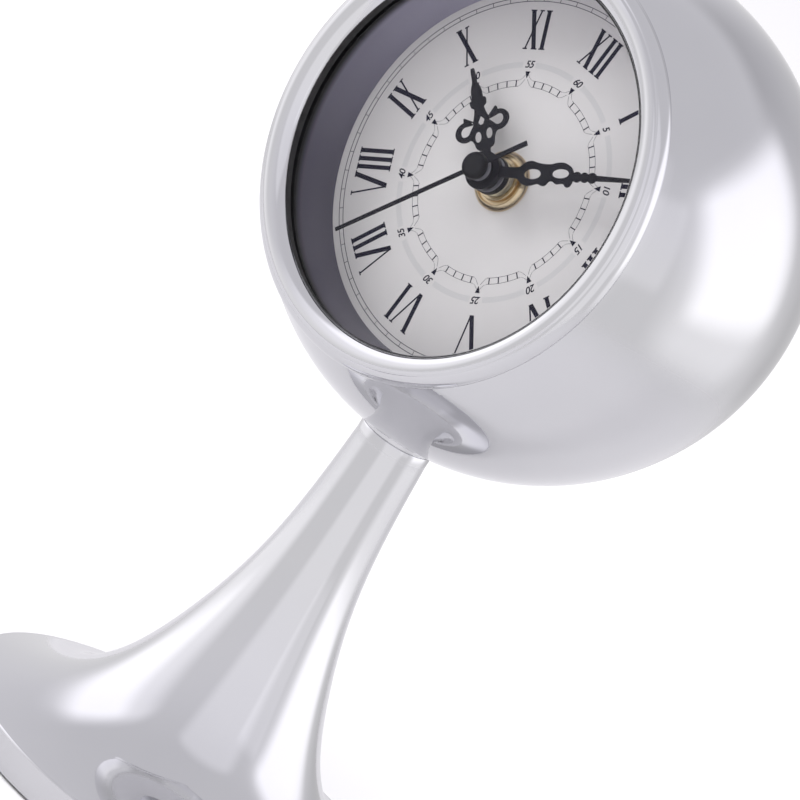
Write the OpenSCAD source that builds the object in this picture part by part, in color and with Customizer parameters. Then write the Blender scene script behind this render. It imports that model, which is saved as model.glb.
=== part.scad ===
// Table clock: a polished ball head with a printed dial, on a trumpet-shaped stand.
// A quartz movement with a moving gear train turns three hands.
// Millimetres. +Z is up, +X is towards III, and the dial faces -Y and leans back a little.
// The origin is on the table, under the middle of the base.

/* [Ball head] */
// Outer diameter of the ball
ball_d = 121.6; // [118:0.2:128]
// Height of the ball's centre above the table
ball_h = 162.4; // [150:0.2:180]
// Thickness of the ball's steel wall
ball_wall = 1.2; // [0.8:0.1:1.6]
// How far the dial leans back, in degrees
head_tilt = 7.1; // [0:0.1:10]
// Diameter of the service hole in the back of the ball
rear_hole_d = 72; // [56:1:74]

/* [Stand] */
// Diameter of the base
base_d = 108.2; // [96:0.2:112]
// Height of the upright rim of the base
rim_h = 8.1; // [7:0.1:11]
// Outer diameter of the stem just under the ball
stem_d = 17.6; // [15:0.1:20]
// Diameter of the flare where the trumpet turns outwards
flare_d = 38.5; // [34:0.5:44]
// Height at which the flare has that diameter
flare_h = 39.9; // [36:0.1:46]
// Thickness of the stand's steel wall
stand_wall = 1.2; // [0.8:0.1:1.5]
// Thickness of the felt under the base
felt_t = 1.5; // [1:0.1:2.5]
// Thickness of the plate that closes the base
plate_t = 1.2; // [0.8:0.1:2]
// Height of the iron weight inside the base
weight_h = 33; // [20:1:50]
// Diameter of the threaded rod that ties ball, stem and weight together
rod_d = 6; // [4:0.5:7]

/* [Face] */
// Diameter of the dial that can be seen
dial_d = 87; // [84:0.2:88]
// Outer diameter of the bezel where it meets the ball
bezel_d = 102.9; // [101:0.1:105]
// Depth of the dial behind the front of the ball
dial_depth = 14.5; // [14.3:0.1:17]
// Thickness of the glass
glass_t = 1.7; // [1.2:0.1:2]
// Thickness of the dial
dial_t = 1.0; // [0.6:0.1:1.4]
// Thickness of the disc behind the dial
backing_t = 1.3; // [0.8:0.1:2]

/* [Hands] */
// Length of the hour hand from the middle of the dial
hour_hand_l = 25.8; // [24:0.05:28]
// Length of the minute hand
minute_hand_l = 37.3; // [34:0.1:39]
// Length of the seconds hand
seconds_hand_l = 36.3; // [28:0.1:39]
// Length of the seconds hand's tail
seconds_tail_l = 13; // [6:0.1:16]
// Thickness of the hands
hand_t = 0.4; // [0.3:0.05:0.6]
// Time shown: hours
shown_hour = 10; // [0:1:11]
// Minutes. A clutch sets them apart from the seconds, so the two needn't agree.
shown_minute = 10.05; // [0:0.05:59.95]
// Seconds
shown_second = 35.6; // [0:0.1:59.9]

/* [Movement] */
// Room for a contact between each end of the battery and the movement case
end_room = 1.55; // [1.3:0.05:3]
// Depth of the movement case
case_deep = 16; // [15.6:0.1:18]
// Wall of the movement case
case_wall = 1.2; // [1:0.1:1.4]
// Diameter of the threaded bush that holds the movement to the dial
bush_d = 8; // [7:0.1:9]
// Thickness of the gear wheels
wheel_t = 0.9; // [0.7:0.05:1]
// Diameter of the battery
cell_d = 14.2; // [13.5:0.1:14.5]
// Length of the battery with its knob
cell_l = 50.5; // [49.5:0.1:50.8]

/* [Hidden] */

$fn = 64;

// Clearances that every fit shares
run_gap = 0.05;   // a shaft that turns in its bearing
snug_gap = 0.05;  // pieces that are pressed or screwed together
loose_gap = 0.4;  // pieces that pass each other
eps = 0.01;
far = 200;

ball_r = ball_d / 2;
ball_in_r = ball_r - ball_wall;
rear_hole_r = rear_hole_d / 2;
rod_r = rod_d / 2;

// Places along the axis of the dial, counted from the middle of the ball
bezel_r = bezel_d / 2;
face_z = sqrt(pow(ball_r, 2) - pow(bezel_r, 2));
dial_z = face_z - dial_depth;

module head() translate([0, 0, ball_h]) rotate([90 - head_tilt, 0, 0]) children();

// The dial's own frame: z is 0 on the printed face and grows towards the glass
module face() head() translate([0, 0, dial_z]) children();

// A point on a cubic curve, its direction, and the side of a wall beside it
function curve_point(p, t) =
  pow(1 - t, 3) * p[0] + 3 * t * pow(1 - t, 2) * p[1] + 3 * t * t * (1 - t) * p[2] + pow(t, 3) * p[3];
function curve_slope(p, t) =
  3 * pow(1 - t, 2) * (p[1] - p[0]) + 6 * t * (1 - t) * (p[2] - p[1]) + 3 * t * t * (p[3] - p[2]);
function inward(v) = [v[1], -v[0]] / norm(v);
function curve_side(p, steps, inset = 0, first = 0) =
  [for (i = [first:steps]) curve_point(p, i / steps) + inset * inward(curve_slope(p, i / steps))];
function backwards(list) = [for (i = [len(list) - 1:-1:0]) list[i]];
function mirrored(half) = concat(half, [for (p = backwards(half)) [-p[0], p[1]]]);
function on_circle(r, a) = [r * cos(a), r * sin(a)];
function oval(across, along, steps = 40) =
  [for (i = [0:steps - 1]) [across * cos(360 * i / steps), along * sin(360 * i / steps)]];

module ring(outer, inner, h, z = 0) translate([0, 0, z]) difference() {
  cylinder(r = outer, h = h);
  translate([0, 0, -eps]) cylinder(r = inner, h = h + 2 * eps);
}

module rounded_square(side_x, side_y, corner) {
  square([side_x - 2 * corner, side_y], center = true);
  square([side_x, side_y - 2 * corner], center = true);
  for (x = [-1, 1], y = [-1, 1])
    translate([x * (side_x / 2 - corner), y * (side_y / 2 - corner)]) circle(corner);
}

// Stand

base_r = base_d / 2;
stem_r = stem_d / 2;
rim_lift = 0.6;      // the steel rim stops short of the table
rim_round = 0.6;
collar_h = 2.4;      // straight stretch at the top of the stem
seat_h = 1.24;       // polished ring that shows between stem and ball
seat_step = 0.5;
stem_h = ball_h - sqrt(pow(ball_r, 2) - pow(stem_r, 2)) - seat_h;
neck_z = stem_h - collar_h;
neck_angle = 3.1;    // lean of the stem's side at the top
flare_angle = 20.7;  // lean where neck and flare meet
rim_angle = 14.8;    // slope of the flare where it meets the rim
neck_pull = 24.7;
flare_pull_up = 21.7;
flare_pull_down = 22.8;
rim_pull = 19;
flare = [flare_d / 2, flare_h];
neck_curve = [
  [stem_r, neck_z],
  [stem_r, neck_z] + neck_pull * [sin(neck_angle), -cos(neck_angle)],
  flare - flare_pull_up * [sin(flare_angle), -cos(flare_angle)],
  flare];
flare_curve = [
  flare,
  flare + flare_pull_down * [sin(flare_angle), -cos(flare_angle)],
  [base_r - rim_round, rim_h] - rim_pull * [cos(rim_angle), -sin(rim_angle)],
  [base_r - rim_round, rim_h]];

function stand_side(inset) =
  concat(curve_side(neck_curve, 12, inset), curve_side(flare_curve, 16, inset, 1));
function rim_edge() =
  [for (a = [75:-25:0]) [base_r - rim_round, rim_h - rim_round] + on_circle(rim_round, a)];

plate_top = felt_t + plate_t;
inner_rim_r = base_r - stand_wall;
fastener_top = 11;    // seat of the washer inside the weight
washer_t = 1.6;
nut_t = 5;
nut_across = 10;
nut_r = nut_across / 2 / cos(30);

module pedestal() color("gainsboro") rotate_extrude($fn = 180) polygon(concat(
  [[stem_r - 0.1, stem_h]],
  stand_side(0),
  rim_edge(),
  [[base_r, rim_lift], [inner_rim_r, rim_lift]],
  backwards(stand_side(stand_wall)),
  [[stem_r - stand_wall, stem_h]]));

module base_weight() color("dimgray") difference() {
  intersection() {
    rotate_extrude($fn = 180) polygon(concat(
      [[0, stem_h], [stem_r - stand_wall - loose_gap, stem_h]],
      stand_side(stand_wall + loose_gap),
      [[base_r - stand_wall - loose_gap, 0], [0, 0]]));
    translate([0, 0, plate_top]) cylinder(r = inner_rim_r - loose_gap, h = weight_h - plate_top);
  }
  cylinder(r = rod_r + loose_gap, h = far);
  cylinder(r = nut_r + 3, h = fastener_top);
}

module base_plate() color("silver")
  ring(inner_rim_r - loose_gap, nut_r + 3, plate_t, felt_t);

module felt_pad() color("darkgreen") cylinder(r = inner_rim_r - 1.4, h = felt_t, $fn = 120);

rod_bottom = fastener_top - washer_t - nut_t - 1;
ball_floor = ball_h - ball_in_r;
ball_washer_t = 3;
ball_washer_r = 8;
rod_top = ball_floor + ball_washer_t + nut_t + 2;

module tie_rod() color("silver") translate([0, 0, rod_bottom]) cylinder(r = rod_r, h = rod_top - rod_bottom);

module base_washer() color("silver")
  ring(nut_r + 2, rod_r + 0.2, washer_t, fastener_top - washer_t);

module hex_nut(z) color("silver") translate([0, 0, z]) difference() {
  cylinder(r = nut_r, h = nut_t, $fn = 6);
  translate([0, 0, -eps]) cylinder(r = rod_r + snug_gap, h = nut_t + 2 * eps);
}

module base_nut() hex_nut(fastener_top - washer_t - nut_t);

module ball_nut() hex_nut(ball_floor + ball_washer_t);

spigot_l = 6;

// The seat turns the flat end of the stem into a cup for the ball
module seat_ring() color("silver") difference() {
  union() {
    translate([0, 0, stem_h]) cylinder(r = stem_r - seat_step, h = 2 * seat_h);
    translate([0, 0, stem_h - spigot_l]) cylinder(r = stem_r - stand_wall - snug_gap, h = spigot_l + eps);
  }
  translate([0, 0, ball_h]) sphere(r = ball_r + snug_gap, $fn = 180);
  translate([0, 0, stem_h - spigot_l - eps]) cylinder(r = rod_r + 0.2, h = far);
}

module ball_washer() color("silver") difference() {
  intersection() {
    translate([0, 0, ball_floor - 1]) cylinder(r = ball_washer_r, h = ball_washer_t + 1);
    translate([0, 0, ball_h]) sphere(r = ball_in_r - snug_gap, $fn = 180);
  }
  translate([0, 0, ball_floor - 2]) cylinder(r = rod_r + 0.2, h = far);
}

// Ball head

cover_lip = 1.2;        // how far the cover's flange laps over the ball
cover_flange_t = 1.1;
cover_plug_l = 5;
cover_wall = 1.4;
cover_web_t = 1.6;
rear_z = -sqrt(pow(ball_r, 2) - pow(rear_hole_r, 2));

module ball_shell() color("gainsboro") difference() {
  head() difference() {
    sphere(r = ball_r, $fn = 180);
    sphere(r = ball_in_r, $fn = 180);
    translate([0, 0, face_z]) cylinder(r = far, h = far);
    translate([0, 0, -far]) cylinder(r = rear_hole_r, h = far - ball_r / 4, $fn = 120);
  }
  translate([0, 0, ball_h - ball_r - 1]) cylinder(r = rod_r + 0.2, h = ball_wall + 3);
}

module rear_cover() color([0.08, 0.08, 0.08]) head() translate([0, 0, rear_z - run_gap]) {
  difference() {
    union() {
      translate([0, 0, -cover_flange_t]) cylinder(r = rear_hole_r + cover_lip, h = cover_flange_t, $fn = 120);
      cylinder(r = rear_hole_r - run_gap, h = cover_plug_l, $fn = 120);
    }
    translate([0, 0, cover_web_t - cover_flange_t])
      cylinder(r = rear_hole_r - run_gap - cover_wall, h = cover_plug_l);
    for (y = [-1, 1]) translate([-6, y * (rear_hole_r - 4) - 1.5, -cover_flange_t - eps])
      cube([12, 3, 0.8]);
  }
}

// Bezel, glass and what holds the dial

dial_r = dial_d / 2;
glass_top = dial_depth + 0.7;
glass_bottom = glass_top - glass_t;
gasket_t = 0.8;
flange_top = glass_bottom - gasket_t;
flange_t = 1.4;
clip_t = 0.8;
clip_groove = 0.5;
skirt_wall = 1.3;
skirt_r = sqrt(pow(ball_in_r, 2) - pow(face_z, 2)) - 0.12;
skirt_in_r = skirt_r - skirt_wall;
skirt_bottom = flange_top - flange_t - clip_t - 1;
glass_r = skirt_in_r - 0.6;
lip_r = dial_r + 1.3;
crease = [bezel_r - 1.55, dial_depth + 3.1];
crown_curve = [
  [bezel_r, dial_depth], [bezel_r + 0.9, dial_depth + 0.9], crease + [1.6, -0.5], crease];
bead_curve = [
  crease, crease + [-0.6, 1.05], [lip_r + 1.4, crease[1] + 0.95], [lip_r, glass_top + 0.15]];

module bezel() color("gainsboro") face() rotate_extrude($fn = 180) polygon(concat(
  [[skirt_r, skirt_bottom], [skirt_r, dial_depth]],
  curve_side(crown_curve, 8),
  curve_side(bead_curve, 12, 0, 1),
  [[lip_r, glass_top], [skirt_in_r, glass_top],
   [skirt_in_r, flange_top - flange_t], [skirt_in_r + clip_groove, flange_top - flange_t],
   [skirt_in_r + clip_groove, flange_top - flange_t - clip_t],
   [skirt_in_r, flange_top - flange_t - clip_t], [skirt_in_r, skirt_bottom]]));

module glass() color([0.8, 0.9, 0.95, 0.3]) face()
  translate([0, 0, glass_bottom]) cylinder(r = glass_r, h = glass_t, $fn = 120);

module gasket() color([0.05, 0.05, 0.05]) face() ring(glass_r, lip_r + 0.1, gasket_t, flange_bottom() + flange_t);

function flange_bottom() = flange_top - flange_t;

ring_wall = 1.4;
dial_fit_r = dial_r + 1.2;
ring_out_r = dial_fit_r + 1.6;
backing_bottom = -dial_t - backing_t;
screw_count = 4;
screw_r = 0.55;
screw_head_r = 1.6;
screw_head_t = 0.8;
screw_depth = 4;
screw_place_r = dial_fit_r + 0.8;

module at_screws() for (i = [0:screw_count - 1])
  rotate([0, 0, 45 + 360 * i / screw_count]) translate([screw_place_r, 0, backing_bottom]) children();

module inner_ring() color([0.2, 0.2, 0.22]) face() difference() {
  rotate_extrude($fn = 180) polygon([
    [lip_r + 0.1, flange_top], [skirt_in_r - 0.3, flange_top], [skirt_in_r - 0.3, flange_bottom()],
    [ring_out_r, flange_bottom()], [ring_out_r, backing_bottom],
    [dial_fit_r, backing_bottom], [dial_fit_r, 0], [dial_r, 0]]);
  at_screws() translate([0, 0, -eps]) cylinder(r = screw_r + snug_gap, h = screw_depth + 0.3);
}

clip_gap_angle = 14;

// Spring clip in the bezel's groove, with a gap so that it can be squeezed
module retaining_ring() color("silver") face() difference() {
  ring(skirt_in_r + clip_groove - 0.1, ring_out_r + 0.3, clip_t, flange_bottom() - clip_t);
  rotate([0, 0, -90 - clip_gap_angle / 2]) translate([0, 0, flange_bottom() - clip_t - eps])
    linear_extrude(clip_t + 2 * eps)
      polygon([[0, 0], far * [1, 0], far * [cos(clip_gap_angle), sin(clip_gap_angle)]]);
}

bush_r = bush_d / 2;
bush_hole_r = bush_r + 0.1;

module dial() color([0.88, 0.88, 0.87]) face()
  ring(dial_fit_r - 0.1, bush_hole_r, dial_t, -dial_t, $fn = 180);

module dial_backing() color([0.3, 0.3, 0.3]) face()
  ring(dial_fit_r - 0.1, bush_hole_r, backing_t, backing_bottom, $fn = 180);

module dial_screws() color("silver") face() at_screws() {
  translate([0, 0, -screw_head_t]) cylinder(r = screw_head_r, h = screw_head_t);
  cylinder(r = screw_r, h = screw_depth);
}

washer_rubber_t = 0.8;
washer_rubber_r = 9;
case_front = backing_bottom - washer_rubber_t;

module rubber_washer() color([0.1, 0.1, 0.1]) face()
  ring(washer_rubber_r, bush_hole_r, washer_rubber_t, case_front);

// Movement case. Layers are counted from the front of the case, backwards.

bay_front = case_front - case_wall;
case_rear = case_front - case_deep;
back_t = 1.2;
back_in = case_rear + back_t;
layer_gap = 0.4;
half_in = cell_l / 2 + end_room;
case_w = 2 * (half_in + case_wall);
cell_gap = 0.1;
bay_split = -11.2;                     // lower edge of the gear bay
cell_y = bay_split - case_wall - cell_gap - cell_d / 2;
cell_z = bay_front - cell_gap - cell_d / 2;
case_low = cell_y - cell_d / 2 - cell_gap;    // lower edge of the battery bay

hour_wheel_z = bay_front - layer_gap - wheel_t;
motion_wheel_z = hour_wheel_z - 0.6 - wheel_t;
mid_plate_t = 0.9;
mid_plate_z = motion_wheel_z - 0.5 - mid_plate_t;
centre_wheel_z = mid_plate_z - layer_gap - wheel_t;
third_wheel_z = centre_wheel_z - 0.8 - wheel_t;
seconds_wheel_z = third_wheel_z - 0.9 - wheel_t;
between_wheel_z = seconds_wheel_z - 0.7 - wheel_t;

// Gear train: teeth, tooth size and direction of each centre
arbor_r = 0.5;
seconds_r = 0.7;
cannon_r = 1.7;
hour_tube_r = 2.5;
motion_size = 0.5;
hour_size = 0.48;
centre_size = 0.34;
third_size = 0.36;
seconds_size = 0.3;
rotor_size = 0.28;
cannon_teeth = 12;
motion_teeth = 36;
motion_pinion_teeth = 10;
hour_teeth = 40;
pinion_teeth = 8;
centre_teeth = 64;
third_teeth = 60;
seconds_teeth = 40;
between_teeth = 36;
rotor_teeth = 6;
motion_dir = 60;
setting_dir = 30;
third_dir = 180;
between_dir = 20;
rotor_dir = 60;

function reach(a, b, size) = (a + b) * size / 2;
motion_at = on_circle(reach(cannon_teeth, motion_teeth, motion_size), motion_dir);
setting_at = motion_at + on_circle(reach(cannon_teeth, motion_teeth, motion_size), setting_dir);
third_at = on_circle(reach(pinion_teeth, third_teeth, third_size), third_dir);
between_at = on_circle(reach(pinion_teeth, seconds_teeth, seconds_size), between_dir);
rotor_at = between_at + on_circle(reach(rotor_teeth, between_teeth, rotor_size), rotor_dir);

// Angle of a driven gear so that its gap meets the driver's tooth
function meshed(driver_turn, driver_teeth, dir, driven_teeth) =
  dir + 180 + ((dir - driver_turn) * driver_teeth / 360 - 0.5) * 360 / driven_teeth;
motion_turn = meshed(0, cannon_teeth, motion_dir, motion_teeth);
hour_turn = meshed(0, motion_pinion_teeth, motion_dir + 180, hour_teeth);
setting_turn = meshed(motion_turn, motion_teeth, setting_dir, cannon_teeth);
third_turn = meshed(0, pinion_teeth, third_dir, third_teeth);
centre_turn = meshed(0, pinion_teeth, third_dir + 180, centre_teeth);
between_turn = meshed(0, seconds_teeth, between_dir, pinion_teeth);
rotor_turn = meshed(0, between_teeth, rotor_dir, rotor_teeth);

tooth_tip = 0.75;      // tooth height above and below the pitch circle, in tooth sizes
tooth_root = 1.25;
tip_share = 0.11;      // half width of a tooth, as a share of the pitch
root_share = 0.24;

module gear(teeth, size, thick, z, turn = 0, bore = 0) translate([0, 0, z]) rotate([0, 0, turn])
  linear_extrude(thick) difference() {
    polygon([for (i = [0:teeth - 1], side = [-1, 1], end = [0, 1])
      let (outer = (side < 0) ? end : 1 - end,
           share = outer ? tip_share : root_share,
           r = size * (teeth / 2 + (outer ? tooth_tip : -tooth_root)))
      on_circle(r, 360 * (i + side * share) / teeth)]);
    if (bore > 0) circle(bore);
  }

case_corner = 4;
post_r = 1.6;
plate_posts = [[-20, -9.2], [21.5, -9.2], [-20, 16], [21.5, 8]];

module movement_case() color([0.1, 0.1, 0.1]) face() translate([0, 0, case_rear]) difference() {
  union() {
    difference() {
      translate([0, (half_in + case_low) / 2, 0]) linear_extrude(case_deep)
        rounded_square(case_w, half_in - case_low + 2 * case_wall, case_corner);
      translate([-half_in, bay_split, -eps]) cube([2 * half_in, half_in - bay_split, case_deep - case_wall]);
      translate([-half_in, case_low, -eps])
        cube([2 * half_in, bay_split - case_wall - case_low, case_deep - case_wall]);
    }
    for (p = plate_posts) translate([p[0], p[1], mid_plate_z + mid_plate_t - case_rear])
      cylinder(r = post_r, h = bay_front - mid_plate_z - mid_plate_t + eps);
  }
  cylinder(r = bush_r + snug_gap, h = far);
}

boss_r = 1.55;
stator_z = seconds_wheel_z + wheel_t + 0.6;
stator_t = 1.2;
core_t = 1.2;
leg_w = 3;
leg_left = -14.5;
leg_right = rotor_at[0] + 0.5;
core_y = half_in - 3.8;
coil_r = 3.5;
board_w = 11;
board_x = half_in - board_w - 0.8;
board_y = -10.8;
board_l = 22.8;
board_z = back_in + 2.9;
board_t = 1.2;
stator_posts = [[leg_left + leg_w / 2, core_y - 5], [leg_right + leg_w / 2, core_y - 5]];
board_posts = [[board_x + board_w - 3, board_y + 3], [board_x + board_w - 3, board_y + board_l - 3]];

// A bearing boss on the inside of the back, with a blind hole for a pivot
module boss(at, top, hole) translate([at[0], at[1], back_in - eps]) difference() {
  cylinder(r = boss_r, h = top - back_in + eps);
  translate([0, 0, 0.4]) cylinder(r = hole, h = far);
}

module post(at, top, r = post_r) translate([at[0], at[1], back_in - eps])
  cylinder(r = r, h = top - back_in + eps);

module case_back() color([0.13, 0.13, 0.13]) face() {
  difference() {
    union() {
      translate([-half_in + 0.1, bay_split + 0.1, case_rear])
        cube([2 * half_in - 0.2, half_in - bay_split - 0.2, back_t]);
      for (p = stator_posts) post(p, stator_z);
      for (p = board_posts) post(p, board_z);
      post(between_at, between_wheel_z - 0.3, boss_r);
      post(between_at, seconds_wheel_z + wheel_t + 0.3, arbor_r);
    }
    translate([setting_at[0], setting_at[1], case_rear - eps])
      cylinder(r = setting_r + run_gap, h = back_t + 1);
  }
  boss([0, 0], seconds_wheel_z - 0.3, arbor_r + run_gap);
  boss(third_at, third_wheel_z - 0.3, arbor_r + run_gap);
  boss(rotor_at, between_wheel_z - 0.5, arbor_r + run_gap);
}

setting_r = 1.2;
stud_r = 0.8;
mid_plate_left = -22;
mid_plate_w = 45.5;
mid_plate_edge = 0.2;   // free strip between the plate and the bay's lower wall
mid_plate_clear = 0.7;  // free strip between the plate and the coil
mid_plate_l = core_y - coil_r - mid_plate_clear - bay_split - mid_plate_edge;

// Plate between the seconds train and the motion work. It carries the motion wheel's stud.
module mid_plate() color([0.75, 0.62, 0.2]) face() {
  difference() {
    translate([mid_plate_left, bay_split + mid_plate_edge, mid_plate_z])
      cube([mid_plate_w, mid_plate_l, mid_plate_t]);
    translate([0, 0, mid_plate_z - eps]) cylinder(r = cannon_r + run_gap, h = mid_plate_t + 1);
    for (p = [third_at, rotor_at]) translate([p[0], p[1], mid_plate_z - eps])
      cylinder(r = arbor_r + run_gap, h = mid_plate_t + 1);
    translate([setting_at[0], setting_at[1], mid_plate_z - eps])
      cylinder(r = setting_r + run_gap, h = mid_plate_t + 1);
  }
  translate([motion_at[0], motion_at[1], mid_plate_z + mid_plate_t - eps])
    cylinder(r = stud_r, h = hour_wheel_z + wheel_t - mid_plate_z - mid_plate_t);
}

bush_top = 4;

module threaded_bush() color([0.72, 0.6, 0.3]) face()
  ring(bush_r, hour_tube_r + run_gap, bush_top - bay_front, bay_front);

dial_nut_r = 6.8;

module dial_nut() color([0.78, 0.6, 0.28]) face() rotate_extrude($fn = 90) polygon([
  [bush_r + snug_gap, 0], [dial_nut_r, 0], [dial_nut_r, 0.7], [dial_nut_r - 0.8, 1.5],
  [dial_nut_r - 1.1, 1.5], [dial_nut_r - 1.3, 0.9], [bush_r + 0.9, 0.9],
  [bush_r + 0.75, 1.9], [bush_r + snug_gap, 1.9]]);

magnet_r = 3;
stator_hole_r = magnet_r + 0.45;
stator_slit = 1;
pole_half = 4.9;      // half width of the iron round the magnet
bridge_at = 4.7;      // from the rotor's middle to the bar that joins the legs
bridge_w = 2.6;
pole_l = pole_half + bridge_at + bridge_w;

// Soft-iron frame that carries the coil's field round the rotor's magnet
module stator() color("silver") face() translate([0, 0, stator_z]) linear_extrude(stator_t) difference() {
  union() {
    translate(rotor_at - [pole_half, pole_half]) square([2 * pole_half, pole_l]);
    translate([leg_left, rotor_at[1] + bridge_at]) square([leg_right + leg_w - leg_left, bridge_w]);
    for (x = [leg_left, leg_right])
      translate([x, rotor_at[1] + bridge_at])
        square([leg_w, core_y + leg_w / 2 - rotor_at[1] - bridge_at]);
  }
  translate(rotor_at) circle(stator_hole_r);
  translate([rotor_at[0] - stator_slit / 2, rotor_at[1]]) square([stator_slit, pole_l]);
}

module coil_core() color("silver") face() translate([leg_left, core_y - leg_w / 2, stator_z + stator_t])
  cube([leg_right + leg_w - leg_left, leg_w, core_t]);

coil_l = 17.5;
coil_wall = 0.1;

module coil() color([0.72, 0.4, 0.15]) face()
  translate([(leg_left + leg_right + leg_w) / 2, core_y, stator_z + stator_t + core_t / 2])
    difference() {
      rotate([0, 90, 0]) cylinder(r = coil_r, h = coil_l, center = true);
      cube([coil_l + 1, leg_w + 2 * coil_wall, core_t + 2 * coil_wall], center = true);
    }

module circuit_board() color([0.1, 0.35, 0.15]) face() {
  translate([board_x, board_y, board_z]) cube([board_w, board_l, board_t]);
  translate([board_x + 5, board_y + 7, board_z + board_t - eps]) cylinder(r1 = 3, r2 = 2, h = 1.2);
}

crystal_r = 1;
crystal_l = 6;

module quartz_crystal() color("silver") face()
  translate([board_x + 5, board_y + 13, board_z + board_t + crystal_r + eps])
    rotate([-90, 0, 0]) cylinder(r = crystal_r, h = crystal_l);

cell_nub = 1;

module battery() color([0.15, 0.15, 0.2]) face() translate([-cell_l / 2, cell_y, cell_z]) rotate([0, 90, 0]) {
  cylinder(r = cell_d / 2, h = cell_l - cell_nub);
  cylinder(r = 2.7, h = cell_l);
}

contact_t = 0.3;
contact_w = 8;
leaf_l = 5.6;

// A flat strip at the knob end and a sprung leaf at the flat end
module battery_contacts() color("silver") face() translate([0, cell_y, cell_z]) {
  translate([cell_l / 2 + cell_gap, -contact_w / 2, -contact_w / 2])
    cube([end_room - cell_gap, contact_w, contact_w]);
  translate([-half_in, -contact_w / 2, 0]) rotate([-90, 0, 0]) linear_extrude(contact_w) {
    square([contact_t, leaf_l]);
    polygon([[0, leaf_l], [end_room - cell_gap, 0], [end_room - cell_gap, -1], [0, leaf_l - 1]]);
  }
}

// Hands. Each one is drawn pointing up, at XII, and turned to the time shown.

minute_angle = 6 * shown_minute;
hour_angle = 30 * (shown_hour + shown_minute / 60);
seconds_angle = 6 * shown_second;

hub_r = 4.3;
hour_hub_z = 4.1;
hub_t = 1.6;
hour_plate_z = hour_hub_z + 0.55;
minute_hub_z = 7.0;
minute_plate_z = minute_hub_z + 0.7;
minute_cap_z = minute_hub_z + 2.3;
seconds_hub_z = minute_cap_z + 1.2;
seconds_plate_z = seconds_hub_z + 0.4;
cap_r = 3.05;
cap_h = 1.6;

// Outlines hold distance from the hand's middle line, and distance from the centre of the dial
hour_half = [
  [0.95, 2.5], [0.95, 6.0], [1.7, 6.5], [2.25, 7.2], [2.5, 8.3], [3.0, 9.3], [3.6, 9.9],
  [2.6, 12.0], [1.9, 13.6], [1.55, 14.5], [1.3, 15.4], [1.2, 16.3], [1.75, 16.75], [1.95, 17.4],
  [1.95, 18.2], [1.4, 18.5], [1.3, 19.4], [1.25, 20.4], [1.0, 21.4], [0.62, 22.3], [0.5, 23.2]];
hour_fin = [[1.7, 13.4], [3.9, 15.15], [4.15, 15.1], [4.3, 14.0]];
scroll_at = [4.25, 11.85];
scroll_eye_at = [4.2, 11.95];
scroll_eye_r = 1.25;
scroll_tear = [[4.1, 13.15], [1.8, 12.9], [3.2, 11.3]];
heart = [[0, 14.35], [0.9, 13.1], [0.35, 12.15], [-0.35, 12.15], [-0.9, 13.1]];
barrel_eye_at = [1.4, 9.65];
barrel_eye = [0.85, 1.3];

module both_sides() for (s = [0, 1]) mirror([s, 0]) children();

// Fretwork: a barrel and leaf on the stem, a scroll with a fin on each side, and pierced eyes
module hour_plate() difference() {
  union() {
    polygon(mirrored(concat(hour_half, [[0.5, hour_hand_l - 1], [0.38, hour_hand_l]])));
    both_sides() {
      translate(scroll_at) polygon(oval(2.5, 2.3));
      polygon(hour_fin);
    }
    circle(hub_r - 0.2);
  }
  both_sides() {
    translate(scroll_eye_at) circle(scroll_eye_r);
    polygon(scroll_tear);
    translate(barrel_eye_at) polygon(oval(barrel_eye[0], barrel_eye[1], 24));
  }
  polygon(heart);
  circle(hour_tube_r + 0.5);
}

module hour_hand() color([0.05, 0.05, 0.06]) face() rotate([0, 0, -hour_angle]) {
  translate([0, 0, hour_plate_z]) linear_extrude(hand_t) hour_plate();
  ring(hub_r, hour_tube_r + 0.02, hub_t, hour_hub_z);
}

// A smooth line through the points between the first and the last
function smooth_point(a, b, c, d, t) =
  b + t * (c - a) / 2 + t * t * (2 * a - 5 * b + 4 * c - d) / 2 + t * t * t * (3 * b - a - 3 * c + d) / 2;
function smooth_line(p, steps) =
  [for (i = [1:len(p) - 3], k = [0:steps - 1]) smooth_point(p[i - 1], p[i], p[i + 1], p[i + 2], k / steps)];

// The side towards the earlier hour is one smooth swell, the other side is lobed
minute_lobed_side = [
  [1.2, 2], [1.2, 4], [1.2, 8.4], [1.7, 9.5], [2.4, 10.5], [2.65, 11.8], [2.35, 13.2], [2.05, 14.2],
  [2.4, 15.2], [2.3, 16.2], [1.4, 17.0], [1.35, 17.9], [1.85, 18.9], [1.7, 20.0], [1.75, 20.8],
  [2.35, 21.5], [2.2, 22.3], [1.4, 22.8], [0.7, 23.0], [0.6, 24]];
minute_smooth_side = [
  [-1.2, 2], [-1.2, 4], [-1.2, 8.4], [-1.8, 9.6], [-2.5, 10.5], [-2.85, 11.9], [-2.5, 13.7],
  [-2.35, 15.4], [-2.4, 16.9], [-2.8, 18.3], [-2.9, 20.1], [-2.2, 21.8], [-1.1, 22.7], [-0.7, 23.0],
  [-0.6, 24]];
minute_beads = [[23.8, 1.15], [25.7, 1.1], [27.6, 1.15]];   // place and radius of each
minute_eyes = [[0, 12.6, 1.15], [-0.5, 19.6, 1.05]];         // place and half width of each
minute_eye_l = 2.15;
minute_step_r = 2.9;

module minute_plate() difference() {
  union() {
    polygon(concat(
      smooth_line(minute_lobed_side, 3),
      [[0.62, 27.6], [0.42, minute_hand_l], [-0.42, minute_hand_l], [-0.62, 27.6]],
      backwards(smooth_line(minute_smooth_side, 3))));
    for (bead = minute_beads) translate([0, bead[0]]) circle(bead[1]);
    circle(hub_r - 0.2);
  }
  for (eye = minute_eyes) translate([eye[0], eye[1]]) polygon(oval(eye[2], minute_eye_l, 32));
  circle(cannon_r + 0.5);
}

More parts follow.
